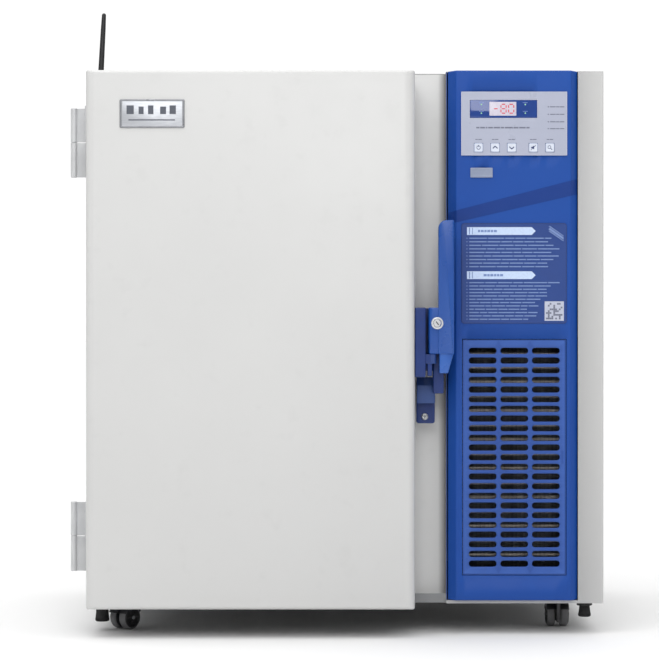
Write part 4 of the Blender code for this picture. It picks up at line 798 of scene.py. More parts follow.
def digit(x, z, width, height, bar, sign):
    """The lit bars of one seven-part digit, as rectangles."""
    middle = z + height / 2
    places = {"a": (x + bar, z + height - bar, x + width - bar, z + height),
              "d": (x + bar, z, x + width - bar, z + bar),
              "g": (x + bar, middle - bar / 2, x + width - bar, middle + bar / 2),
              "e": (x, z + bar, x + bar, middle - bar / 2), "f": (x, middle + bar / 2, x + bar,
                                                                  z + height - bar),
              "c": (x + width - bar, z + bar, x + width, middle - bar / 2),
              "b": (x + width - bar, middle + bar / 2, x + width, z + height - bar)}
    gap = bar * 0.14
    return [(a + gap, b + gap, c - gap, d - gap) for a, b, c, d in (places[s] for s in SEGMENTS[sign])]


def display():
    """A glossy tinted window; behind its surface a pale field with three red digits and small lamps."""
    y0, y1 = WINDOW_LOW[1], WINDOW_HIGH[1]
    rect = (WINDOW_LOW[0], WINDOW_LOW[2], WINDOW_HIGH[0], WINDOW_HIGH[2])
    rings = [(0.0, y1, 0.0018), (0.0, y0 + 0.0004, 0.0018), (0.00015, y0 + 0.0001, 0.0018),
             (0.0005, y0, 0.0018)]
    piece("display_pane", terraced(rect, rings[::-1]), "cabinet", WINDOW, ["display_window"])
    field = (0.26565, 0.9057, 0.31245, 0.9297)
    rings = [(0.0, y0 + HAIR, 0.001), (0.0, y0 - 0.00005, 0.001), (0.0002, y0 - HAIR, 0.001)]
    piece("display_field", terraced(field, rings[::-1]), "cabinet", LED_FIELD)
    width, height, bar = 0.0112, 0.0178, 0.0023
    lit_parts = []
    for place, sign in zip((0.2712, 0.2846, 0.2980), "-80"):
        lit_parts += digit(place, 0.9088, width, height, bar, sign)
    piece("display_digits", tiles(lit_parts, y0 - HAIR), "cabinet", LED_RED)
    lamps = []
    for x in (0.25165, 0.32815):
        for z in (0.9250, 0.9100):
            profile = [(0.0, y0 - 0.0004), (0.0010, y0 - 0.0003), (0.0013, y0), (0.0013, y0 + HAIR),
                       (0.0, y0 + HAIR)]
            lamps.append(lathe(profile, (x, 0.0, z), "Y", 20))
    piece("display_lamps", joined(*lamps), "cabinet", LAMP_GREEN)
    notes = [(x - 0.0042, z + 0.0028, x + 0.0042, z + 0.0036)
             for x in (0.25165, 0.32815) for z in (0.9250, 0.9100)]
    piece("display_notes", tiles(notes, y0), "cabinet", PRINT_DIM)


def words(x0, x1, z, height, lengths, gap):
    """A line of blocks that stand in for words: their shares of the line are the given lengths."""
    span = x1 - x0 - gap * (len(lengths) - 1)
    total = sum(lengths)
    made, x = [], x0
    for length in lengths:
        wide = span * length / total
        made.append((x, z - height / 2, x + wide, z + height / 2))
        x += wide + gap
    return made


def overlay_print():
    """The film's pale rim and window border, and blocks in place of its words."""
    keep("control_overlay", FILM)
    y = OVERLAY_LOW[1]
    rect = (OVERLAY_LOW[0], OVERLAY_LOW[2], OVERLAY_HIGH[0], OVERLAY_HIGH[2])
    rim = [(0.0, y - HAIR), (0.0011, y - HAIR), (0.0011, y + HAIR), (0.0, y + HAIR)]
    around = (WINDOW_LOW[0] - 0.0013, WINDOW_LOW[2] - 0.0013, WINDOW_HIGH[0] + 0.0013,
              WINDOW_HIGH[2] + 0.0013)
    edge = [(0.0, y - HAIR), (0.0008, y - HAIR), (0.0008, y + HAIR), (0.0, y + HAIR)]
    piece("overlay_rim", joined(framed(rect, rim, 0.0012), framed(around, edge, 0.002)), "cabinet", FILM_RIM)
    title = words(0.24265, 0.33565, 0.8848, 0.0026, (2, 3, 1, 3, 4, 2, 5, 3, 4, 2), 0.0013)
    lines = []
    for z in (0.921, 0.908, 0.895, 0.883):
        lines += words(0.37115, 0.39615, z, 0.0016, (5, 3, 4), 0.0008)
        lines += [(0.3672, z - 0.0010, 0.3692, z + 0.0010)]
    for name in KEYS:
        low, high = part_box("key_" + name)
        lines += words(low[0] + 0.002, high[0] - 0.002, 0.8642, 0.0014, (3, 4), 0.0008)
    piece("overlay_title", tiles(title, y), "cabinet", PRINT_GREY)
    piece("overlay_lines", tiles(lines, y), "cabinet", PRINT_GREY)


def key_symbols(name, x, z, y):
    """The sign on a key: a ring, an arrow up or down, a horn with a stroke, or a lens."""
    if name == "set":
        return joined(ring_mark(x, z, 0.0026, 0.0009, y), bar_mark(x, z + 0.0012, x, z + 0.0046, 0.0010, y))
    if name in ("up", "down"):
        s = 1.0 if name == "up" else -1.0
        tip, foot = z + s * 0.0034, z - s * 0.0024
        outline = [(x - 0.0042, foot), (x, tip - s * 0.0022), (x + 0.0042, foot),
                   (x + 0.0042, foot + s * 0.0022), (x, tip), (x - 0.0042, foot + s * 0.0022)]
        return mark(outline if s > 0 else outline[::-1], y)
    if name == "mute":
        horn = [(x - 0.0038, z - 0.0012), (x - 0.0018, z - 0.0012), (x + 0.0014, z - 0.0034),
                (x + 0.0014, z + 0.0034), (x - 0.0018, z + 0.0012), (x - 0.0038, z + 0.0012)]
        strike = bar_mark(x - 0.0042, z - 0.0040, x + 0.0042, z + 0.0040, 0.0008, y - HAIR)
        return joined(mark(horn, y), strike)
    return joined(ring_mark(x - 0.0008, z + 0.0008, 0.0022, 0.0008, y),
                  bar_mark(x + 0.0014, z - 0.0014, x + 0.0040, z - 0.0040, 0.0012, y))


def keys():
    """Dished key caps in a darker rim, each with its sign, all riding on the key's own body."""
    for name in KEYS:
        low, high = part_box("key_" + name)
        y0, y1 = low[1], high[1]
        rect = (low[0], low[2], high[0], high[2])
        rings = [(0.0, y1, 0.0018), (0.0, y0 + 0.0010, 0.0018), (0.0003, y0 + 0.0003, 0.0018),
                 (0.0009, y0, 0.0018),
                 (0.0016, y0, 0.0020), (0.0024, y0 + 0.0002, 0.0020), (0.0052, y0 + 0.00035, 0.0015)]
        body = "button_" + name
        piece("key_cap_" + name, terraced(rect, rings[::-1]), body, KEY_FACE, ["key_" + name])
        rim = [(0.0, y0 + 0.0012), (-0.0002, y0 + 0.0008), (0.0, y0 + 0.0004), (0.0004, y0 + 0.0002),
               (0.0006, y0 + 0.0009)]
        piece("key_rim_" + name, framed(rect, rim, 0.0018), body, KEY_RIM)
        sign = key_symbols(name, (low[0] + high[0]) / 2, (low[2] + high[2]) / 2, y0 + 0.00035)
        piece("key_sign_" + name, sign, body, PRINT_DARK)


def port():
    """The cover of the service port, with two hinge lugs and a finger lip, and the socket behind it."""
    low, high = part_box("port_cover")
    rect = (low[0], low[2], high[0], high[2])
    y0, y1 = low[1], high[1]
    rings = [(0.0, y1, 0.0012), (0.0, y0 + 0.0007, 0.0012), (0.0005, y0 + 0.0001, 0.0012),
             (0.0011, y0, 0.0012),
             (0.0030, y0, 0.0012), (0.0036, y0 + 0.0004, 0.0012)]
    lip = block((low[0] + 0.012, y0 - 0.0001, low[2] + 0.0009),
                (high[0] - 0.012, y0 + 0.0011, low[2] + 0.0026), 0.0004)
    lugs = [block((x, y0 + 0.0002, high[2] - 0.0030), (x + 0.0040, y1, high[2] - 0.0002), 0.0006)
            for x in (low[0] + 0.004, high[0] - 0.008)]
    piece("port_flap_cover", joined(terraced(rect, rings[::-1]), lip, *lugs), "port_flap", GREY_COVER,
          ["port_cover"])
    hole = panel_holes()[2]
    back = FACE_UPPER + 0.011
    cup = [(0.0004, FACE_UPPER + 0.0010), (0.0022, FACE_UPPER + 0.0010), (0.0022, back - 0.001),
           (0.0004, back)]
    pins = [block((hole[0] + 0.0052 + 0.0017 * i, FACE_UPPER + 0.004, hole[3] - 0.0040),
                  (hole[0] + 0.0058 + 0.0017 * i, back - 0.001,
                   hole[3] - 0.0033), 0.0001, 1) for i in range(8)]
    floor = block((hole[0] + 0.0006, back - 0.0012, hole[1] + 0.0006),
                  (hole[2] - 0.0006, back - 0.0002, hole[3] - 0.0006))
    piece("port_socket", joined(framed(hole, cup, 0.0008), floor), "cabinet", BLACK_PLASTIC)
    piece("port_contacts", joined(*pins), "cabinet", SCREW_STEEL)


def notice_plate():
    """The plate of operating notes: a thin film with round corners; arrow banners, ragged blocks in
    place of words, a slanted ribbon and a pale square, all without wording."""
    low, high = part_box("notice_plate")
    rect = (low[0], low[2], high[0], high[2])
    y0, y1 = low[1], high[1]
    rings = [(0.0, y1, 0.005), (0.0, y0 + 0.0003, 0.005), (0.0002, y0, 0.005)]
    piece("notice_film", terraced(rect, rings[::-1], 8), "cabinet", NOTICE_FIELD,
          ["notice_plate"])
    edge = [(0.0004, y0 - HAIR), (0.0011, y0 - HAIR), (0.0011, y0 + HAIR), (0.0004, y0 + HAIR)]
    piece("notice_border", framed(rect, edge, 0.005, 8), "cabinet", PRINT_DARK)
    banners = []
    for x0, x1, z in ((0.2270, 0.3400, 0.7050), (0.2270, 0.3400, 0.6280)):
        h = 0.0068
        banners.append(mark([(x0, z - h), (x1, z - h), (x1 + h, z), (x1, z + h), (x0, z + h)], y0))
    piece("notice_banners", joined(*banners), "cabinet", PRINT_WHITE)
    heads = [(0.2306, 0.6990, 0.2322, 0.7110), (0.2360, 0.6990, 0.2372, 0.7110)]
    heads += [(0.2306, 0.6220, 0.2322, 0.6340), (0.2360, 0.6220, 0.2372, 0.6340)]
    heads += words(0.2460, 0.2790, 0.7050, 0.0040, (3, 4, 3, 4, 3, 4), 0.0012)
    heads += words(0.2560, 0.2900, 0.6280, 0.0040, (4, 3, 4, 3, 3, 4), 0.0012)
    piece("notice_headings", tiles(heads, y0 - HAIR), "cabinet", PRINT_PALE)
    ragged = np.random.default_rng(7)
    blocks = []
    for top, bottom, pitch in ((0.6925, 0.6420, 0.0062), (0.6150, 0.5500, 0.0058)):
        for z in np.arange(top, bottom, -pitch):
            right = 0.3930 if z > 0.59 else 0.3560
            end = right - ragged.uniform(0.0, 0.030)
            blocks += words(0.2310, end, z, 0.0019, ragged.uniform(3, 9, 6).tolist(), 0.0016)
            blocks.append((0.2262, z - 0.0008, 0.2278, z + 0.0008))
    piece("notice_lines", tiles(blocks, y0), "cabinet", PRINT_PALE)
    ribbon = []
    for start, width in ((0.0, 0.0016), (0.0030, 0.0042), (0.0086, 0.0016)):
        a, b = 0.6870 + start, 0.6870 + start + width
        ribbon.append(mark([(0.3955, a), (0.3955, b), (0.3720, b + 0.0165), (0.3690, a + 0.0180)], y0))
    piece("notice_ribbon", joined(*ribbon), "cabinet", PRINT_PALE)
    square = (0.3625, 0.5485, 0.3960, 0.5823)
    piece("notice_square", tiles([square], y0), "cabinet", FILM_RIM)
    grid = []
    for i in range(9):
        for j in range(9):
            if ragged.uniform() < 0.5:
                x, z = square[0] + 0.0024 + 0.0032 * i, square[1] + 0.0024 + 0.0032 * j
                grid.append((x, z, x + 0.0030, z + 0.0030))
    piece("notice_square_pattern", tiles(grid, y0 - HAIR), "cabinet", PRINT_GREY)


# ---- Air grille and what shows behind it -----------------------------------------------------------------
GRILLE_HOLES = {"columns": 3, "first": 0.0204, "pitch": 0.01689, "height": 0.0108, "side": 0.0116,
                "bar": 0.0066}


def slotted_cell(cell, slot, y_front, y_back):
    """One cell of the plate with its round-ended slot: points run round the slot, and others at the
    same shares run round the cell; the skin goes from the cell's front, over the slot's soft edge,
    through the slot and out over the cell's back."""
    x0, z0, x1, z1 = slot
    r = (z1 - z0) / 2
    turn = np.radians(np.linspace(-90, 90, 9))
    flat = np.linspace(0, 1, 5)[1:-1]
    right = np.column_stack([x1 - r + r * np.cos(turn), z0 + r + r * np.sin(turn)])
    over = np.column_stack([(x1 - r) + (x0 + r - x1 + r) * flat, np.full(3, z1)])
    left = np.column_stack([x0 + r - r * np.cos(turn), z1 - r - r * np.sin(turn)])
    under = np.column_stack([(x0 + r) + (x1 - r - x0 - r) * flat, np.full(3, z0)])
    inner = np.concatenate([right, over, left, under])
    a0, c0, a1, c1 = cell
    rise = np.linspace(0, 1, 9)
    outer = np.concatenate([np.column_stack([np.full(9, a1), c0 + (c1 - c0) * rise]),
                            np.column_stack([a1 + (a0 - a1) * flat, np.full(3, c1)]),
                            np.column_stack([np.full(9, a0), c1 + (c0 - c1) * rise]),
                            np.column_stack([a0 + (a1 - a0) * flat, np.full(3, c0)])])
    middle = np.array([(x0 + x1) / 2, (z0 + z1) / 2])
    soft = 0.0007

    def grown(amount):
        return inner + np.sign(inner - middle) * amount * np.array([0.7, 1.0])

    rings = [(outer, y_front), (grown(soft), y_front), (grown(soft * 0.3), y_front + soft * 0.3),
             (inner, y_front + soft), (inner, y_back), (outer, y_back)]
    points = np.concatenate([np.column_stack([ring[:, 0], np.full(len(ring), y), ring[:, 1]])
                             for ring, y in rings])
    return points, strips(len(rings), len(inner))


def air_grille():
    """The slotted door of the air intake: cells with a slot in each, tiled over the plate."""
    x0, y0, z0 = GRILLE_LOW
    x1, y1, z1 = GRILLE_HIGH
    g = GRILLE_HOLES
    clear = 0.0012
    width = (x1 - x0 + 2 * clear - 2 * g["side"] - 2 * g["bar"]) / g["columns"]
    rows = int((z1 - z0 + 2 * clear - 2 * g["first"]) / g["pitch"] + 0.01) + 1
    cells_made = []
    for row in range(rows):
        z = z0 - clear + g["first"] + row * g["pitch"]
        c0 = z0 if row == 0 else z - g["pitch"] / 2
        c1 = z1 if row == rows - 1 else z + g["pitch"] / 2
        for column in range(g["columns"]):
            x = x0 - clear + g["side"] + column * (width + g["bar"])
            a0 = x0 if column == 0 else x - g["bar"] / 2
            a1 = x1 if column == g["columns"] - 1 else x + width + g["bar"] / 2
            slot = (x, z - g["height"] / 2, x + width, z + g["height"] / 2)
            cells_made.append(slotted_cell((a0, c0, a1, c1), slot, y0 + 0.0002, y1))
    piece("air_grille_plate", joined(*cells_made), "air_grille", BLUE_GRILLE,
          ["filter_grille"],
          bridged=True)
    rim = [(0.0, y1 - 0.0002), (0.0, y0 + 0.0007), (0.0004, y0 + 0.0001), (0.0011, y0), (0.0022, y0),
           (0.0026, y0 + 0.0004), (0.0026, y1 - 0.0002)]
    pull = block((x1 - 0.0085, y0, (z0 + z1) / 2 - 0.012), (x1 - 0.0035, y1 - 0.001, (z0 + z1) / 2 + 0.012),
                 0.0009)
    piece("air_grille_rim", joined(framed((x0, z0, x1, z1), rim, 0.002), pull), "air_grille", BLUE_GRILLE)


def filter_mat():
    """The air filter: a frame that holds a net of fine strands, open enough to show the fins."""
    low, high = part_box("filter_mat")
    x0, y0, z0, x1, y1, z1 = low[0], low[1], low[2], high[0], high[1], high[2]
    frame_shape = framed((x0, z0, x1, z1), [(0.0, y0), (0.0035, y0), (0.0040, y0 + 0.001), (0.0040, y1),
                                            (0.0, y1)], 0.003)
    strands = []
    for x in np.arange(x0 + 0.008, x1 - 0.004, 0.0070):
        strands.append(block((x - 0.0002, y0 + 0.0030, z0 + 0.002), (x + 0.0002, y0 + 0.0034, z1 - 0.002),
                             0.0001, 1))
    for z in np.arange(z0 + 0.008, z1 - 0.004, 0.0070):
        strands.append(block((x0 + 0.002, y0 + 0.0033, z - 0.0002), (x1 - 0.002, y0 + 0.0037, z + 0.0002),
                             0.0001, 1))
    piece("air_filter_net", joined(frame_shape, *strands), "cabinet", FILTER_FOAM,
          ["filter_mat"])


def condenser():
    """Upright fins on rows of tubes: thin plates side by side, tubes through them whose return bends
    show at the left, and a folded end plate at each side."""
    low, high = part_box("condenser")
    x0, y0, z0, x1, y1, z1 = low[0], low[1], low[2], high[0], high[1], high[2]
    inset = 0.018
    fins = [block((x - 0.00012, y0 + 0.001, z0 + 0.002), (x + 0.00012, y1 - 0.001, z1 - 0.002), 0.00005, 1)
            for x in np.arange(x0 + inset, x1 - inset * 0.6, 0.0022)]
    piece("condenser_fins", joined(*fins), "cabinet", FINS, ["condenser"])
    ends = [block((x, y0, z0), (x + 0.0012, y1, z1), 0.0004)
            for x in (x0 + inset - 0.003, x1 - inset * 0.6 + 0.001)]
    ends += [block((x0 + 0.004, y0, z), (x1 - 0.004, y1, z + 0.0015), 0.0005) for z in (z0, z1 - 0.0015)]
    piece("condenser_end_plates", joined(*ends), "cabinet", STEEL)
    tubes = []
    pitch = 0.0254
    for z in np.arange(z0 + 0.016, z1 - pitch, 2 * pitch):
        for y in (y0 + 0.010, y1 - 0.010):
            a, b = x0 + inset - 0.004, x1 - inset * 0.6
            path = bend([(b, y, z), (a - 0.0085, y, z), (a - 0.0085, y, z + pitch), (b, y, z + pitch)],
                        0.0085, 8)
            tubes.append(pipe(path, 0.0042, 12))
    piece("condenser_tubes", joined(*tubes), "cabinet", COPPER_DULL)


# ---- Handle, lock, bracket and strike --------------------------------------------------------------------
def handle():
    """The blue lever: a bar with a domed upper corner over a deeper foot, both with soft edges, and
    the latch tongue that hangs below."""
    low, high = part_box("handle_lever")
    pivot = JOINTS["handle_turn"]["pos_m"]
    front = FRONT + 0.009
    lever_x0, lever_x1 = pivot[0] - 0.007, pivot[0] + 0.030
    z0, top = low[2] + 0.069, high[2]
    foot_top, foot_back = z0 + 0.080, FRONT + 0.055
    outline = [(lever_x1, foot_back), (lever_x0, foot_back)]
    outline += arc_points(pivot[0], pivot[1], 0.007, 180, 270, 6)
    outline += arc_points(lever_x1 - 0.003, front + 0.003, 0.003, 270, 360, 4)
    foot = prism(inward_free(outline), z0, foot_top, 0.0022, 4)
    bar_x0, bar_x1 = high[0] - 0.027, high[0]
    crown = arc_points(bar_x0 + 0.014, top - 0.014, 0.014, 90, 180, 8)
    corner = arc_points(bar_x1 - 0.0035, top - 0.0035, 0.0035, 0, 90, 4)
    heel = arc_points(bar_x1 - 0.0020, z0 + 0.0020, 0.0020, -90, 0, 3)
    bar = prism(corner + crown + [(bar_x0, z0)] + heel, FRONT + 0.006, FRONT + 0.030, 0.0026, 4, "XZ")
    heel_outline = [(bar_x1 - 0.0105, z0 - 0.0335), (bar_x1, z0 + 0.004), (bar_x0 + 0.0015, z0 + 0.004),
                    (bar_x0 + 0.0015, z0 - 0.0320), (bar_x0 + 0.0030, z0 - 0.0335)]
    heel_shape = prism(heel_outline, FRONT + 0.0085, FRONT + 0.0265, 0.0022, 4, "XZ")
    piece("handle_lever_moulding", joined(foot, bar, heel_shape), "door_handle", BLUE_HANDLE,
          ["handle_lever"], 40)
    tongue = block((pivot[0] + 0.0018, pivot[1] + 0.014, low[2]),
                   (pivot[0] + 0.020, pivot[1] + 0.036, z0 + 0.002), 0.0022)
    piece("handle_tongue", tongue, "door_handle", BLUE_METAL)
    seam_z = foot_top + 0.0009
    seam = block((bar_x0 + 0.0002, FRONT + 0.0098, seam_z - 0.0009),
                 (bar_x1 - 0.0002, FRONT + 0.0298, seam_z), 0.0004)
    piece("handle_seam", seam, "door_handle", BLUE_METAL)


def inward_free(outline):
    """The same outline without points that repeat."""
    kept = [outline[0]]
    for point in outline[1:]:
        if math.dist(point, kept[-1]) > 1e-6:
            kept.append(point)
    return kept


def lock():
    """The cylinder lock: a barrel with a rounded lip, a sunk ring round its core, and a leaning keyway."""
    low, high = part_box("lock_barrel")
    x, z = (low[0] + high[0]) / 2, (low[2] + high[2]) / 2
    radius, y0, y1 = (high[0] - low[0]) / 2, low[1], high[1]
    profile = [(0.0, y1), (radius, y1), (radius, y0 + 0.0014), (radius - 0.0004, y0 + 0.0005),
               (radius - 0.0014, y0),
               (radius - 0.0026, y0 + 0.0001), (radius - 0.0032, y0 + 0.0010), (radius - 0.0036, y0 + 0.0024),
               (0.0062, y0 + 0.0024), (0.0060, y0 + 0.0011), (0.0054, y0 + 0.0006), (0.0, y0 + 0.0006)]
    piece("lock_cylinder", lathe(profile, (x, 0.0, z), "Y", 64), "door_lock", LOCK_PLATING,
          ["lock_barrel"])
    slot = block((-0.0008, y0 + 0.0004, -0.0040), (0.0008, y0 + 0.0012, 0.0040), 0.0003, 2)
    lean = Matrix.Translation((x, 0.0, z)) @ Matrix.Rotation(math.radians(-35), 4, "Y")
    slot = turned_about(slot, lean)
    piece("lock_keyway", slot, "door_lock", BLACK_PLASTIC)


def latch_bracket():
    """The folded steel bracket on the door's edge, with a tab and a rear flange, its arm and the knuckle
    that carries the handle."""
    low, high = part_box("handle_bracket")
    pivot = JOINTS["handle_turn"]["pos_m"]
    x0, x1 = low[0], low[0] + 0.018
    arm_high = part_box("handle_lever")[0][2] + 0.069 - 0.0005
    arm_low = arm_high - 0.0165
    plate = block((x0, low[1], low[2]), (x1, high[1], high[2]), 0.0016)
    arm = block((x1 - 0.002, pivot[1] - 0.005, arm_low), (pivot[0], pivot[1] + 0.005, arm_high), 0.0012)
    knuckle = [(0.0, arm_high + 0.0375), (0.0031, arm_high + 0.0375), (0.0035, arm_high + 0.0371),
               (0.0035, arm_high),
               (0.0060, arm_high), (0.0065, arm_high - 0.0005), (0.0065, arm_low + 0.0006),
               (0.0059, arm_low), (0.0, arm_low)]
    tab = block((pivot[0] - 0.0088, pivot[1] - 0.004, arm_low - 0.0210),
                (pivot[0] - 0.0008, pivot[1] + 0.003, arm_high), 0.0012)
    flange = block((x0 + 0.001, FRONT + 0.0575, low[2] + 0.010),
                   (pivot[0] + 0.024, FRONT + 0.0600, high[2] - 0.0005), 0.0010)
    piece("latch_bracket", joined(plate, arm, tab, flange, lathe(knuckle, (pivot[0], pivot[1], 0.0), "Z",
                                                                 40)), "outer_door",
          BLUE_METAL, ["handle_bracket"])
    heads = [screw_head((x1, (low[1] + high[1]) / 2 + dy, z), 0.0036, 0.0015, "X", 1.0)
             for dy in (-0.004, 0.020) for z in (low[2] + 0.012, high[2] - 0.012)]
    piece("latch_bracket_screws", joined(*heads), "outer_door", SCREW_STEEL)


def strike():
    """The strike on the cabinet: a base plate, a catch whose upper front is cut off at a slant, and
    its screw."""
    low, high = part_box("strike_bracket")
    x0, x1, z0, z1 = low[0], high[0], low[2], high[2]
    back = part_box("chamber_front")[0][1] - 0.0003
    front = low[1]
    catch = [(front, z1 - 0.045), (back - 0.0008, z1 - 0.045), (back - 0.0008, z1), (front + 0.011, z1),
             (front, z1 - 0.014)]
    catch_body = prism(catch, x0, x1, 0.0012, 3, "YZ")
    rings = [(0.0, back, 0.004), (0.0, back - 0.0022, 0.004), (0.0003, back - 0.0027, 0.004),
             (0.0010, back - 0.003, 0.004)]
    plate = terraced((x0, z0, x1, z1), rings[::-1])
    piece("strike_block", joined(plate, catch_body), "cabinet", BLUE_METAL, ["strike_bracket"])
    screw = screw_head((x0 + 0.0147, back - 0.003, z0 + 0.0117), 0.0062, 0.0024, "Y", -1.0)
    piece("strike_screw", screw, "cabinet", SCREW_STEEL)


# ---- Casters, feet and antenna --------------------------------------------------------------------------
def caster(spot):
    """A twin-wheel caster: a domed hood over two treaded wheels, a swivel head above, and for the
    front ones a brake tab. Shapes are made at the swivel axis and turned with the caster."""
    swivel = JOINTS["caster_swivel_" + spot]["pos_m"]
    axle = JOINTS["wheels_spin_" + spot]["pos_m"]
    trail = np.array([axle[0] - swivel[0], axle[1] - swivel[1]])
    turn = math.atan2(-trail[0], trail[1])
    reach = float(np.hypot(*trail))
    place = Matrix.Translation((swivel[0], swivel[1], 0.0)) @ Matrix.Rotation(turn, 4, "Z")
    top = UNDERSIDE - 0.0003
    wheel_r = axle[2]
    head = [(0.0, top), (0.0136, top), (0.0140, top - 0.0005), (0.0140, top - 0.0028), (0.0160, top - 0.0036),
            (0.0160, top - 0.0074), (0.0154, top - 0.0080), (0.0, top - 0.0080)]
    web_outline = [(-0.012, 0.010), (reach + 0.006, 0.010), (reach + 0.008, 0.020), (reach + 0.006, 0.034),
                   (reach - 0.004, top - 0.0075), (-0.012, top - 0.0070)]
    web = prism(web_outline, -0.003, 0.003, 0.0008, 2, "YZ")
    hood_r = np.linspace(wheel_r + 0.0012, wheel_r + 0.0024, 3)
    angle = np.radians(np.linspace(28, 158, 20))
    across = np.array([-0.0208, -0.0200, -0.0130, 0.0, 0.0130, 0.0200, 0.0208])
    drop = np.array([0.0034, 0.0010, 0.0002, 0.0, 0.0002, 0.0010, 0.0034])
    outer = [np.column_stack([np.full(20, a), reach - (hood_r[2] - d) * np.cos(angle),
                              wheel_r + (hood_r[2] - d) * np.sin(angle)]) for a, d in zip(across, drop)]
    inner = [np.column_stack([np.full(20, a * 0.97), reach - (hood_r[0] - d) * np.cos(angle),
                              wheel_r + (hood_r[0] - d) * np.sin(angle)]) for a, d in zip(across, drop)]
    rings = np.array(outer + inner[::-1])
    rings = np.concatenate([rings, rings[:1]])
    rings[..., 2] = np.minimum(rings[..., 2], top - 0.0078)
    points = rings.reshape(-1, 3)
    faces = strips(len(rings), 20, closed=False)
    count = 20
    for end in (0, count - 1):
        faces += [[(k) * count + end, (k + 1) * count + end, (12 - k) * count + end, (13 - k) * count + end]
                  for k in range(6)]
    shapes = [lathe(head, (0.0, 0.0, 0.0), "Z", 40), web, (points, faces)]
    if spot.startswith("front"):
        shapes.append(block((-0.007, reach + wheel_r - 0.004, wheel_r + 0.009),
                            (0.007, reach + wheel_r + 0.0050, wheel_r + 0.0120), 0.0012))
    piece("caster_hood_" + spot, turned_about(joined(*shapes), place), "caster_" + spot, BLACK_PLASTIC,
          ["caster_body_" + spot], 40)
    wheels, treads, hubs = [], [], []
    for side in (-1.0, 1.0):
        a, b = 0.0042, 0.0212
        rim = [(0.0, a), (wheel_r - 0.0035, a), (wheel_r - 0.0028, a + 0.0006),
               (wheel_r - 0.0028, b - 0.0026),
               (wheel_r - 0.0044, b - 0.0012), (wheel_r - 0.0062, b - 0.0012), (wheel_r - 0.0078, b - 0.0030),
               (0.0072, b - 0.0030), (0.0062, b - 0.0010), (0.0050, b - 0.0002), (0.0, b)]
        tread = [(wheel_r - 0.0029, a + 0.0008), (wheel_r - 0.0012, a + 0.0008), (wheel_r, a + 0.0024),
                 (wheel_r, b - 0.0052), (wheel_r - 0.0014, b - 0.0030), (wheel_r - 0.0029, b - 0.0026)]
        hub = [(0.0, b - 0.0014), (0.0034, b - 0.0014), (0.0034, b + 0.0002), (0.0028, b + 0.0007),
               (0.0, b + 0.0008)]
        centre = (0.0, reach, wheel_r)
        wheels.append(lathe([(r, side * h) for r, h in rim], centre, "X", 48))
        treads.append(lathe([(r, side * h) for r, h in tread], centre, "X", 48))
        hubs.append(lathe([(r, side * h) for r, h in hub], centre, "X", 24))
        spokes = []
        for k in range(6):
            spin = Matrix.Translation(centre) @ Matrix.Rotation(math.radians(60 * k), 4, "X")
            h0, h1 = sorted((side * (b - 0.0034), side * (b - 0.0016)))
            spokes.append(turned_about(block((h0, 0.0056, -0.0009), (h1, wheel_r - 0.0066, 0.0009), 0.0004,
                                             2), spin))
        wheels += spokes
    wheels.append(lathe([(0.0, -0.0046), (0.0038, -0.0046), (0.0038, 0.0046), (0.0, 0.0046)],
                        (0.0, reach, wheel_r), "X", 24))
    body = "wheels_" + spot
    piece("caster_rims_" + spot, turned_about(joined(*wheels), place), body, BLACK_PLASTIC,
          ["caster_wheels_" + spot])
    piece("caster_treads_" + spot, turned_about(joined(*treads), place), body, TREAD)
    piece("caster_caps_" + spot, turned_about(joined(*hubs), place), body, SCREW_STEEL)


def levelling_foot(side):
    """A levelling foot: a threaded stud whose radius rises and falls with height, a six-sided nut with
    round corners, and a rubber pad with grip ribs round it."""
    low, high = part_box("levelling_foot_" + side)
    x, y = (low[0] + high[0]) / 2, (low[1] + high[1]) / 2
    pad_r = (high[0] - low[0]) / 2 - 0.003
    nut_top = UNDERSIDE - 0.002
    nut_low = nut_top - 0.006
    steps = np.arange(nut_top - 0.0005, high[2] - 0.0006, 0.00045)
    thread = 0.0047 + 0.00028 * np.where(np.arange(len(steps)) % 2 == 0, 1.0, -1.0)
    stud = [(0.0, nut_top - 0.0010)] + list(zip(thread, steps)) + [(0.0040, high[2] - 0.0002), (0.0, high[2])]
    piece("foot_stud_" + side, lathe(stud, (x, y, 0.0), "Z", 24), "foot_" + side, SCREW_STEEL,
          ["levelling_foot_" + side], 50)
    corner = np.radians(np.arange(6) * 60.0)
    hexagon = np.column_stack([x + (pad_r + 0.0026) * np.cos(corner), y + (pad_r + 0.0026) * np.sin(corner)])
    nut = prism(hexagon, nut_low, nut_top, 0.0012, 3)
    base = low[2]
    ribs = 36
    sides = ribs * 4
    wave = np.where(np.arange(sides) % 4 < 2, 1.0, 0.0) * 0.0009
    angle = np.arange(sides) * 2 * math.pi / sides
    levels = [(pad_r - 0.0030, nut_low + 0.0004, 0.0), (pad_r - 0.0022, nut_low - 0.0006, 0.0),
              (pad_r - 0.0009, base + 0.0065, 0.4),
              (pad_r - 0.0009, base + 0.0055, 1.0), (pad_r - 0.0009, base + 0.0018, 1.0),
              (pad_r - 0.0016, base + 0.0005, 0.5),
              (pad_r - 0.0024, base, 0.0)]
    rings = [np.column_stack([x + (r + share * wave) * np.cos(angle),
                              y + (r + share * wave) * np.sin(angle), np.full(sides, h)])
             for r, h, share in levels]
    piece("foot_pad_" + side, joined(stacked(rings), nut), "foot_" + side, RIBBED_RUBBER)


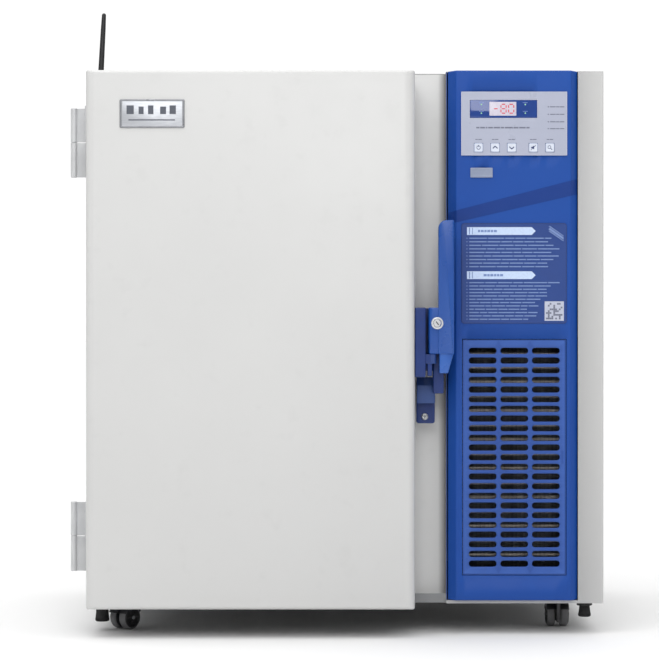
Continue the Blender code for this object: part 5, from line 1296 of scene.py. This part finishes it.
def antenna():
    """The stub antenna: a nut on its jack, a knuckled elbow, and a tapering sheath with a round tip."""
    low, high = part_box("antenna_jack")
    y, z = (low[1] + high[1]) / 2, (low[2] + high[2]) / 2
    corner = np.radians(np.arange(6) * 60.0)
    hexagon = np.column_stack([y + 0.0063 * np.cos(corner), z + 0.0063 * np.sin(corner)])
    nut = prism(hexagon, high[0] - 0.0040, high[0] - 0.0002, 0.0006, 2, "YZ")
    sleeve_x = np.linspace(high[0] - 0.0040, low[0], 15)
    wave = 0.0046 + 0.0002 * np.where(np.arange(15) % 2 == 0, 1.0, -1.0)
    sleeve = lathe([(0.0, sleeve_x[0])] + list(zip(wave, sleeve_x)) + [(0.0, low[0])], (0.0, y, z), "X", 28)
    piece("antenna_jack_nut", joined(nut, sleeve), "cabinet", SCREW_STEEL, ["antenna_jack"], 45)
    fold = JOINTS["antenna_fold"]["pos_m"]
    elbow_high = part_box("antenna_elbow")[1]
    a, b = fold[0] + 0.0086, elbow_high[0]
    collar = [(0.0, a), (0.0054, a), (0.0060, a + 0.0006), (0.0060, b - 0.0024), (0.0056, b - 0.0020),
              (0.0060, b - 0.0016),
              (0.0060, b - 0.0006), (0.0054, b), (0.0, b)]
    tongue = block((fold[0] - 0.0045, y - 0.0012, z - 0.0045), (fold[0] + 0.0092, y + 0.0012, z + 0.0045),
                   0.0010)
    piece("antenna_elbow_collar", joined(lathe(collar, (0.0, y, z), "X", 36), tongue), "antenna_base",
          BLACK_PLASTIC,
          ["antenna_elbow"], 40)
    whip_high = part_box("antenna_whip")[1]
    lean = math.radians(3.0)
    length = (whip_high[2] - z) / math.cos(lean)
    place = Matrix.Translation(tuple(fold)) @ Matrix.Rotation(lean, 4, "Y")
    tip = [(0.0040 * math.sin(t), length - 0.0040 + 0.0038 * math.cos(t))
           for t in np.radians([0, 25, 50, 75, 90])]
    sheath = tip + [(0.0047, length - 0.030), (0.0060, 0.032), (0.0062, 0.030), (0.0056, 0.0285),
                    (0.0062, 0.0270),
                    (0.0062, 0.0096), (0.0056, 0.0090), (0.0, 0.0090)]
    cheeks = [block((-0.0052, y_off, -0.0038), (0.0052, y_off + 0.0042, 0.0100), 0.0014)
              for y_off in (-0.0060, 0.0018)]
    piece("antenna_sheath", joined(turned_about(lathe(sheath, (0, 0, 0), "Z", 40), place),
                                   *(turned_about(cheek,
                                                  place) for cheek in cheeks)), "antenna_rod", BLACK_PLASTIC,
          ["antenna_whip"], 40)
    pin = lathe([(0.0, -0.0062), (0.0016, -0.0062), (0.0016, 0.0062), (0.0, 0.0062)], tuple(fold), "Y", 20)
    piece("antenna_pin", pin, "antenna_rod", SCREW_STEEL)


# ---- Cabinet -------------------------------------------------------------------------------------
def side_left():
    """The left side panel: a flat sheet whose edges are rounded over a small radius."""
    low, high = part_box("side_panel_left")
    x0, y0, z0, x1, y1, z1 = low[0], low[1], low[2], high[0], high[1], high[2]
    piece("cabinet_left_side", block((x0, y0, z0), (x1, y1, z1), 0.00055, 3), "cabinet", WHITE_COAT,
          ["side_panel_left"])


def side_right():
    """The right-hand shell: a sheet carried round a corner of 4 mm from the front strip to the side."""
    low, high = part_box("side_panel_right")
    r, sheet = 0.004, 0.0012
    x0, y0, x1, y1 = low[0], low[1], high[0], high[1]
    outline = [(x0, y0)] + arc_points(x1 - r, y0 + r, r, 270, 360, 8) + [(x1, y1), (x1 - sheet, y1)]
    outline += arc_points(x1 - r, y0 + r, r - sheet, 360, 270, 8) + [(x0, y0 + sheet)]
    piece("cabinet_right_shell", prism(inward_free(outline), low[2], high[2], 0.0004, 2), "cabinet",
          WHITE_COAT,
          ["side_panel_right"])


def base_rail():
    """The base frame keeps its sheet; a rail with a rounded lower edge closes it in front."""
    keep("base_frame", BASE_COAT)
    strip_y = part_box("chamber_front")[0][1]
    rail = block((LEFT + 0.0016, strip_y + 0.0001, UNDERSIDE + 0.0002),
                 (PANEL_LOW[0] - 0.0020, strip_y + 0.0016, 0.0710), 0.0006)
    piece("base_front_rail", rail, "cabinet", BASE_COAT)


def back_sheet():
    """The back keeps its sheet with its slots; pressed hoods stand over the slots, screws go round
    the edge, and each spacer gets a rubber cap."""
    keep("back_panel", WHITE_COAT)
    low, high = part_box("back_panel")
    partition = PANEL_LOW[0] - 0.0019
    x0, x1 = partition + 0.038, RIGHT - 0.038
    hoods = []
    t = np.radians(np.linspace(0, 90, 7))
    for row in range(12):
        z = 0.160 + row * 0.026
        depth, height = 0.0050, 0.0090
        curve = np.column_stack([BACK + depth * np.sin(t), z + 0.0035 + 0.0015 - height * (1 - np.cos(t))])
        inner = np.column_stack([BACK + (depth - 0.0010) * np.sin(t),
                                 z + 0.0040 - (height - 0.0010) * (1 - np.cos(t))])
        outline = np.concatenate([inner[::-1], curve])[::-1]
        hoods.append(prism(inward_free([tuple(p) for p in outline]), x0, x1, 0.0, 1, "YZ"))
    piece("back_louvre_hoods", joined(*hoods), "cabinet", WHITE_COAT)
    edge_x = [low[0] + 0.012, low[0] + 0.22, partition - 0.02, partition + 0.022, high[0] - 0.012]
    spots = [(x, z) for x in edge_x for z in (low[2] + 0.014, low[2] + 0.31, low[2] + 0.62, high[2] - 0.014)]
    heads = [screw_head((x, BACK, z), 0.0040, 0.0016, "Y", 1.0) for x, z in spots]
    piece("back_screws", joined(*heads), "cabinet", SCREW_STEEL)
    spacer_z = TOP - 0.12
    caps = []
    for x in (LEFT + 0.12, RIGHT - 0.12):
        profile = [(0.0, high[1]), (0.0128, high[1]), (0.0141, high[1] - 0.0012), (0.0146, high[1] - 0.0060),
                   (0.0141, high[1] - 0.0062), (0.0, high[1] - 0.0062)]
        caps.append(lathe(profile, (x, 0.0, spacer_z), "Y", 40))
    piece("back_spacer_caps", joined(*caps), "cabinet", RIBBED_RUBBER)


def mains_inlet():
    """The appliance inlet: a flange with chamfered corners round a recess, and three blades."""
    low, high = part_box("mains_inlet")
    x, z = (low[0] + high[0]) / 2, (low[2] + high[2]) / 2
    flange_y = high[1]
    rect = (low[0], low[2], high[0], high[2])
    profile = [(0.0, BACK + 0.0003), (0.0, flange_y - 0.0006), (0.0006, flange_y), (0.0096, flange_y),
               (0.0100, flange_y - 0.0004),
               (0.0100, BACK - 0.0140), (0.0072, BACK - 0.0160), (0.0072, BACK + 0.0003)]
    floor = block((x - 0.0140, low[1], z - 0.0100), (x + 0.0140, BACK - 0.0138, z + 0.0100), 0.0008)
    piece("inlet_body", joined(framed(rect, profile, 0.003, 5), floor), "cabinet", BLACK_PLASTIC,
          ["mains_inlet"])
    blades = [block((x + dx - 0.0020, BACK - 0.0140, z + dz - 0.0008),
                    (x + dx + 0.0020, BACK - 0.0010, z + dz + 0.0008), 0.0004)
              for dx, dz in ((-0.0070, -0.0018), (0.0070, -0.0018), (0.0, 0.0026))]
    piece("inlet_blades", joined(*blades), "cabinet", SCREW_STEEL)


def liner():
    """The chamber's lining: a tray with rounded inner corners, open in front, given its sheet by
    Solidify, with shelf runners at each side."""
    low, high = LINER_LOW, LINER_HIGH
    t = 0.0015
    rings = []
    turn = np.radians(np.linspace(0, 90, 7))
    r = 0.012
    for inset, y in [(0.0, low[1])] + [(r * (1 - math.cos(a)),
                                        high[1] - t - r + r * math.sin(a)) for a in turn]:
        flat = round_rectangle(low[0] + t + inset, low[2] + t + inset, high[0] - t - inset,
                               high[2] - t - inset,
                               max(0.014 - inset, 0.003), 6)
        rings.append(np.column_stack([flat[:, 0], np.full(len(flat), y), flat[:, 1]]))
    points, faces = stacked(rings, False, True)
    tray = piece("chamber_lining", (points, faces), "cabinet", STEEL, ["inner_liner"])
    tray.data.flip_normals()
    wall = tray.modifiers.new("sheet", "SOLIDIFY")
    wall.thickness, wall.offset = 0.0013, -1.0
    runners = []
    for name in ("shelf_lower", "shelf_upper"):
        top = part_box(name)[1][2] - 0.0015 - 0.0003
        for a, b in ((low[0] + t - 0.0003, low[0] + t + 0.010), (high[0] - t - 0.010, high[0] - t + 0.0003)):
            runners.append(block((a, low[1] + 0.045, top - 0.006), (b, high[1] - 0.014, top), 0.0012))
    piece("chamber_runners", joined(*runners), "cabinet", STEEL)


def shelf(name):
    """A shelf: a sheet pressed with rows of ribs (a raised cosine across them, faded out at the
    edges), with a lip folded down in front."""
    low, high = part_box(name)
    x = np.linspace(low[0], high[0], 141)
    y = np.linspace(low[1] + 0.0010, high[1], 41)
    gx, gy = np.meshgrid(x, y)
    fade_x = np.clip(np.minimum(gx - low[0], high[0] - gx) / 0.020 - 0.6, 0, 1)
    fade_y = np.clip(np.minimum(gy - y[0], y[-1] - gy) / 0.020 - 0.8, 0, 1)
    rib = np.maximum(np.cos((gx - (low[0] + high[0]) / 2) * 2 * math.pi / 0.030), 0.0) ** 2
    z = high[2] - 0.0009 + 0.0009 * rib * fade_x * fade_y
    points = np.stack([gx, gy, z], axis=-1)
    fold = [np.column_stack([x, np.full(141, low[1] + 0.0010 - a), np.full(141, high[2] - 0.0009 - b)])
            for a, b in ((0.0007, 0.0003), (0.0010, 0.0010), (0.0010, 0.0110), (0.0007, 0.0122),
                         (-0.0030, 0.0124))]
    points = np.concatenate([np.array(fold[::-1]), points]).reshape(-1, 3)
    sheet = piece(name + "_sheet", (points, strips(len(y) + 5, 141, closed=False)), "cabinet", STEEL,
                  [name], 50)
    if sheet.data.polygons[len(sheet.data.polygons) // 2].normal.z < 0:
        sheet.data.flip_normals()
    wall = sheet.modifiers.new("sheet", "SOLIDIFY")
    wall.thickness, wall.offset = 0.0006, -1.0


def inner_door(level):
    """An insulated inner door: a moulded slab with round edges, a raised field with soft steps, a
    lipped seal behind it and a small turning catch."""
    node_name = "inner_door_" + level
    low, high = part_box(node_name)
    body = level + "_inner_door"
    y0, y1 = low[1], high[1]
    rect = (low[0], low[2], high[0], high[2])
    rings = [(0.0060, y1, 0.006), (0.0020, y1 - 0.0006, 0.008), (0.0, y1 - 0.0030, 0.009),
             (0.0, y0 + 0.0040, 0.009),
             (0.0006, y0 + 0.0024, 0.009), (0.0022, y0 + 0.0014, 0.009), (0.0300, y0 + 0.0014, 0.014),
             (0.0316, y0 + 0.0008, 0.014), (0.0340, y0 + 0.0001, 0.014), (0.0370, y0, 0.014)]
    piece(node_name + "_slab", terraced(rect, rings[::-1], 6), body, INNER_WHITE, [node_name])
    seal = [(0.0030, y1 - 0.0006), (0.0034, y1 - 0.0002), (0.0052, y1), (0.0070, y1 - 0.0002),
            (0.0074, y1 - 0.0010)]
    piece(node_name + "_seal", framed(rect, seal, 0.006), body, GASKET)
    catch = block((high[0] - 0.024, y0 - 0.0010, (low[2] + high[2]) / 2 - 0.004),
                  (high[0] - 0.004, y0 + 0.0022, (low[2] + high[2]) / 2 + 0.004), 0.0012)
    knob = lathe([(0.0, y0 - 0.0016), (0.0046, y0 - 0.0014), (0.0052, y0 - 0.0008), (0.0052, y0 + 0.0016),
                  (0.0, y0 + 0.0016)],
                 (high[0] - 0.010, 0.0, (low[2] + high[2]) / 2), "Y", 32)
    piece(node_name + "_catch", joined(catch, knob), body, BLACK_PLASTIC)


# ---- Machine compartment -------------------------------------------------------------------------------
def fan():
    """Five twisted blades: the chord turns from steep at the hub to flat at the tip and the tip is
    swept; round them a ring-edged shroud, behind them the motor with cooling ribs on its stand."""
    x, y, z = JOINTS["fan_spin"]["pos_m"]
    hub = [(0.0, y - 0.0105), (0.0160, y - 0.0100), (0.0194, y - 0.0070), (0.0200, y - 0.0040),
           (0.0200, y + 0.0100),
           (0.0, y + 0.0100)]
    shapes = [lathe(hub, (x, 0.0, z), "Y", 48)]
    span = np.linspace(0.016, 0.0870, 13)
    chord = np.linspace(-1, 1, 13)
    for blade in range(5):
        base = math.radians(72 * blade)
        width = 0.020 + 0.010 * np.sin((span - span[0]) / (span[-1] - span[0]) * math.pi * 0.8)
        lean = np.radians(np.linspace(38, 22, 13))
        sweep = 0.10 * ((span - span[0]) / (span[-1] - span[0])) ** 2
        s, c = np.meshgrid(np.arange(13), chord, indexing="ij")
        along = width[s] * c * np.cos(lean[s])
        rise = width[s] * c * np.sin(lean[s]) * 0.72 + 0.0025 * (1 - c ** 2)
        angle = base + sweep[s] + along / span[s]
        front = np.stack([x + span[s] * np.sin(angle), y + rise - 0.0006, z + span[s] * np.cos(angle)],
                         axis=-1)
        rear = front + (0.0, 0.0012, 0.0)
        loop = np.concatenate([front, rear[:, ::-1]], axis=1)
        shapes.append(stacked(loop))
    piece("fan_blades", joined(*shapes), "fan", BLACK_PLASTIC, ["fan_rotor"], 40)
    keep("fan_shroud", STEEL)
    s_low, s_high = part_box("fan_shroud")
    ring = [(0.0985, s_high[1] + 0.0040), (0.0976, s_high[1] + 0.0030), (0.0974, s_low[1] - 0.0004),
            (0.0980, s_low[1] - 0.0016),
            (0.1000, s_low[1] - 0.0020), (0.1010, s_low[1] - 0.0004), (0.1000, s_low[1] - 0.0002),
            (0.0992, s_high[1] + 0.0040)]
    piece("fan_ring", lathe(ring, (x, 0.0, z), "Y", 72), "cabinet", BLACK_PLASTIC)
    m_low, m_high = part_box("fan_motor")
    ribs = [(0.0, m_low[1])]
    for k in range(14):
        at = m_low[1] + 0.002 + 0.0036 * k
        r = 0.0340 if k % 2 == 0 else 0.0312
        ribs += [(r, at), (r, at + 0.0034)]
    ribs += [(0.0250, m_high[1]), (0.0, m_high[1])]
    stand = block((x - 0.018, m_low[1] + 0.020, m_low[2]), (x + 0.018, m_low[1] + 0.032, z - 0.020), 0.0025)
    foot = block((x - 0.026, m_low[1] + 0.012, m_low[2]), (x + 0.026, m_low[1] + 0.042, m_low[2] + 0.003),
                 0.0010)
    piece("fan_motor_body", joined(lathe(ribs, (x, 0.0, z), "Y", 48), stand, foot), "cabinet", MOTOR_GREY,
          ["fan_motor"])


def compressor(name):
    """A hermetic compressor: a drawn shell with a welded seam round it, four rubber feet on a plate
    and a terminal box."""
    low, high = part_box(name)
    x, y, z0 = (low[0] + high[0]) / 2, (low[1] + high[1]) / 2, low[2]
    r, h = 0.082, high[2] - low[2]
    dome = [(r * math.sin(a), h - 0.055 + 0.055 * math.cos(a)) for a in np.radians(np.linspace(0, 90, 12))]
    seam = [(r, h * 0.50), (r + 0.0026, h * 0.49), (r + 0.0034, h * 0.475), (r + 0.0026, h * 0.46),
            (r - 0.0010, h * 0.455)]
    under = [(r - 0.0010, 0.050), (r * 0.94, 0.030), (r * 0.80, 0.016), (0.0, 0.012)]
    piece(name + "_shell", lathe(dome + seam + under, (x, y, z0), "Z", 72), "cabinet", ENAMEL,
          [name], 40)
    plate = block((x - 0.060, y - 0.060, z0 + 0.0105), (x + 0.060, y + 0.060, z0 + 0.0135), 0.0012)
    box_shape = block((x + r - 0.014, y - 0.022, z0 + h * 0.22), (x + r + 0.0040, y + 0.022, z0 + h * 0.42),
                      0.004)
    piece(name + "_fittings", joined(plate, box_shape), "cabinet", MOTOR_GREY)
    pads = []
    for dx in (-0.050, 0.050):
        for dy in (-0.050, 0.050):
            profile = [(0.0, 0.0), (0.0090, 0.0), (0.0096, 0.0016), (0.0074, 0.0040), (0.0092, 0.0064),
                       (0.0070, 0.0105), (0.0, 0.0105)]
            pads.append(lathe(profile, (x + dx, y + dy, z0), "Z", 28))
    piece(name + "_pads", joined(*pads), "cabinet", RIBBED_RUBBER)


def pipes():
    """The discharge line as a round tube between its CAD ends, with brazed collars at both ends."""
    low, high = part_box("copper_pipework")
    r = 0.005
    y1, x0 = high[1] - r, low[0] + r
    x1, y0 = high[0] - r, low[1] + r
    corners = [(x0, y1, low[2] + 0.0004), (x0, y1, high[2] - r), (x1, y1, high[2] - r), (x1, y0, high[2] - r),
               (x1, y0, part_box("condenser")[1][2] + 0.0005)]
    run = pipe(bend(corners, 0.025, 10), r * 0.96, 20)
    collars = []
    for end, sign in ((corners[0], 1.0), (corners[-1], 1.0)):
        profile = [(0.0, 0.0), (0.0062, 0.0), (0.0068, 0.0012), (0.0064, 0.0050), (0.0050, 0.0078),
                   (0.0, 0.0078)]
        collars.append(lathe([(a, sign * b) for a, b in profile], end, "Z", 24))
    piece("discharge_line", joined(run, *collars), "cabinet", COPPER, ["copper_pipework"])


def electrics():
    """The control box with a folded lid and screws; the circuit board with its parts."""
    low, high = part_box("control_box")
    body = block((low[0], low[1], low[2]), (high[0], high[1] , high[2] - 0.020), 0.003)
    lid = block((low[0] - 0.0000, low[1], high[2] - 0.0205), (high[0], high[1], high[2]), 0.004)
    piece("control_box_case", joined(body, lid), "cabinet", STEEL, ["control_box"])
    spots = [(x, z) for x in (low[0] + 0.012, high[0] - 0.012) for z in (low[2] + 0.012, high[2] - 0.010)]
    heads = [screw_head((x, low[1], z), 0.0040, 0.0016, "Y", -1.0) for x, z in spots]
    piece("control_box_screws", joined(*heads), "cabinet", SCREW_STEEL)
    keep("control_board", BOARD)
    b_low, b_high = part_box("control_board")
    parts = []
    ragged = np.random.default_rng(3)
    for column in range(6):
        for row in range(2):
            x = b_low[0] + 0.018 + column * 0.026
            z = b_low[2] + 0.016 + row * 0.018
            w, h = ragged.uniform(0.004, 0.010, 2)
            parts.append(block((x, b_high[1] - 0.0002, z),
                               (x + w, b_high[1] + ragged.uniform(0.002, 0.007), z + h), 0.0006))
    piece("board_parts", joined(*parts), "cabinet", BLACK_PLASTIC)


# ---- Putting it together ----------------------------------------------------------------------------------
def furnish():
    """Every piece of the freezer, from the door inwards."""
    door_skin()
    door_liner()
    door_gasket()
    door_badge()
    for level in ("upper", "lower"):
        hinge(level)
        inner_door(level)
        shelf("shelf_" + level)
    front_panel()
    display()
    overlay_print()
    keys()
    port()
    notice_plate()
    air_grille()
    filter_mat()
    condenser()
    handle()
    lock()
    latch_bracket()
    strike()
    for spot in ("front_left", "front_right", "rear_left", "rear_right"):
        caster(spot)
    for side in ("left", "right"):
        levelling_foot(side)
    antenna()
    side_left()
    side_right()
    keep("top_panel", WHITE_COAT)
    # the front strip's paint carries a painted shade that darkens towards the blue moulding
    keep("chamber_front", STILE_SHADED_COAT)
    keep("insulation", FOAM)
    base_rail()
    back_sheet()
    mains_inlet()
    liner()
    fan()
    for stage in ("first", "second"):
        compressor("compressor_" + stage + "_stage")
    pipes()
    electrics()


def floor():
    """A wide pale floor that the casters stand on."""
    reach = 120.0
    mesh = bpy.data.meshes.new("studio_floor")
    mesh.from_pydata([(-reach, -reach, 0), (reach, -reach, 0), (reach, reach, 0), (-reach, reach, 0)], [],
                     [(0, 1, 2, 3)])
    obj = bpy.data.objects.new("studio_floor", mesh)
    bpy.context.scene.collection.objects.link(obj)
    mesh.materials.append(coat("studio_floor_paint", tone(238, 238, 238), tone(236, 236, 236), (0.85, 0.95),
                               60.0, 0.0002,
                               lumps=0.4))


def soft_light(name, place, target, size, power):
    """A square soft box that faces its target."""
    light = bpy.data.lights.new(name, "AREA")
    light.shape, light.size, light.energy = "SQUARE", size, power
    obj = bpy.data.objects.new(name, light)
    obj.location = place
    obj.rotation_euler = (Vector(target) - Vector(place)).to_track_quat("-Z", "Y").to_euler()
    bpy.context.scene.collection.objects.link(obj)


def studio():
    """White surroundings that are bright above and behind and dimmer at the sides and in front, a
    soft box high at the left front, and a stronger one further out in front."""
    world = bpy.data.worlds.new("studio_white")
    world.use_nodes = True
    tree = world.node_tree
    background = next(n for n in tree.nodes if n.type == "BACKGROUND")
    background.inputs["Color"].default_value = (1.0, 1.0, 1.0, 1.0)
    way = node(tree, "ShaderNodeTexCoord").outputs["Generated"]
    parts = node(tree, "ShaderNodeSeparateXYZ", Vector=way)
    behind = spread(tree, parts.outputs["Y"], WORLD_SIDES, WORLD_BACK, 0.90, 0.97)
    above = spread(tree, parts.outputs["Z"], 0.0, WORLD_ABOVE, 0.35, 0.85)
    total = node(tree, "ShaderNodeMath", {"operation": "ADD"}, Value=behind)
    tree.links.new(above, total.inputs[1])
    tree.links.new(total.outputs[0], background.inputs["Strength"])
    bpy.context.scene.world = world
    soft_light("key_box", (-0.7, -1.5, 2.3), (-0.05, -0.3, 0.85), 1.3, KEY_POWER)
    soft_light("fill_box", (0.1, -3.3, 1.9), (0.1, -0.3, 0.6), 1.2, FILL_POWER)
    bpy.context.scene.view_settings.view_transform = "Standard"


def camera():
    """A level view of the front from the middle of its height."""
    data = bpy.data.cameras.new("front_view")
    data.lens, data.sensor_width = 119.6, 36.0
    obj = bpy.data.objects.new("front_view", data)
    obj.location = (-0.01285, -4.174, 0.528)
    obj.rotation_euler = (math.radians(90), 0.0, 0.0)
    bpy.context.scene.collection.objects.link(obj)
    bpy.context.scene.camera = obj


WORLD_SIDES = 0.24
WORLD_BACK = 1.05
WORLD_ABOVE = 1.6
KEY_POWER = 9.0
FILL_POWER = 17.0

furnish()
floor()
studio()
camera()
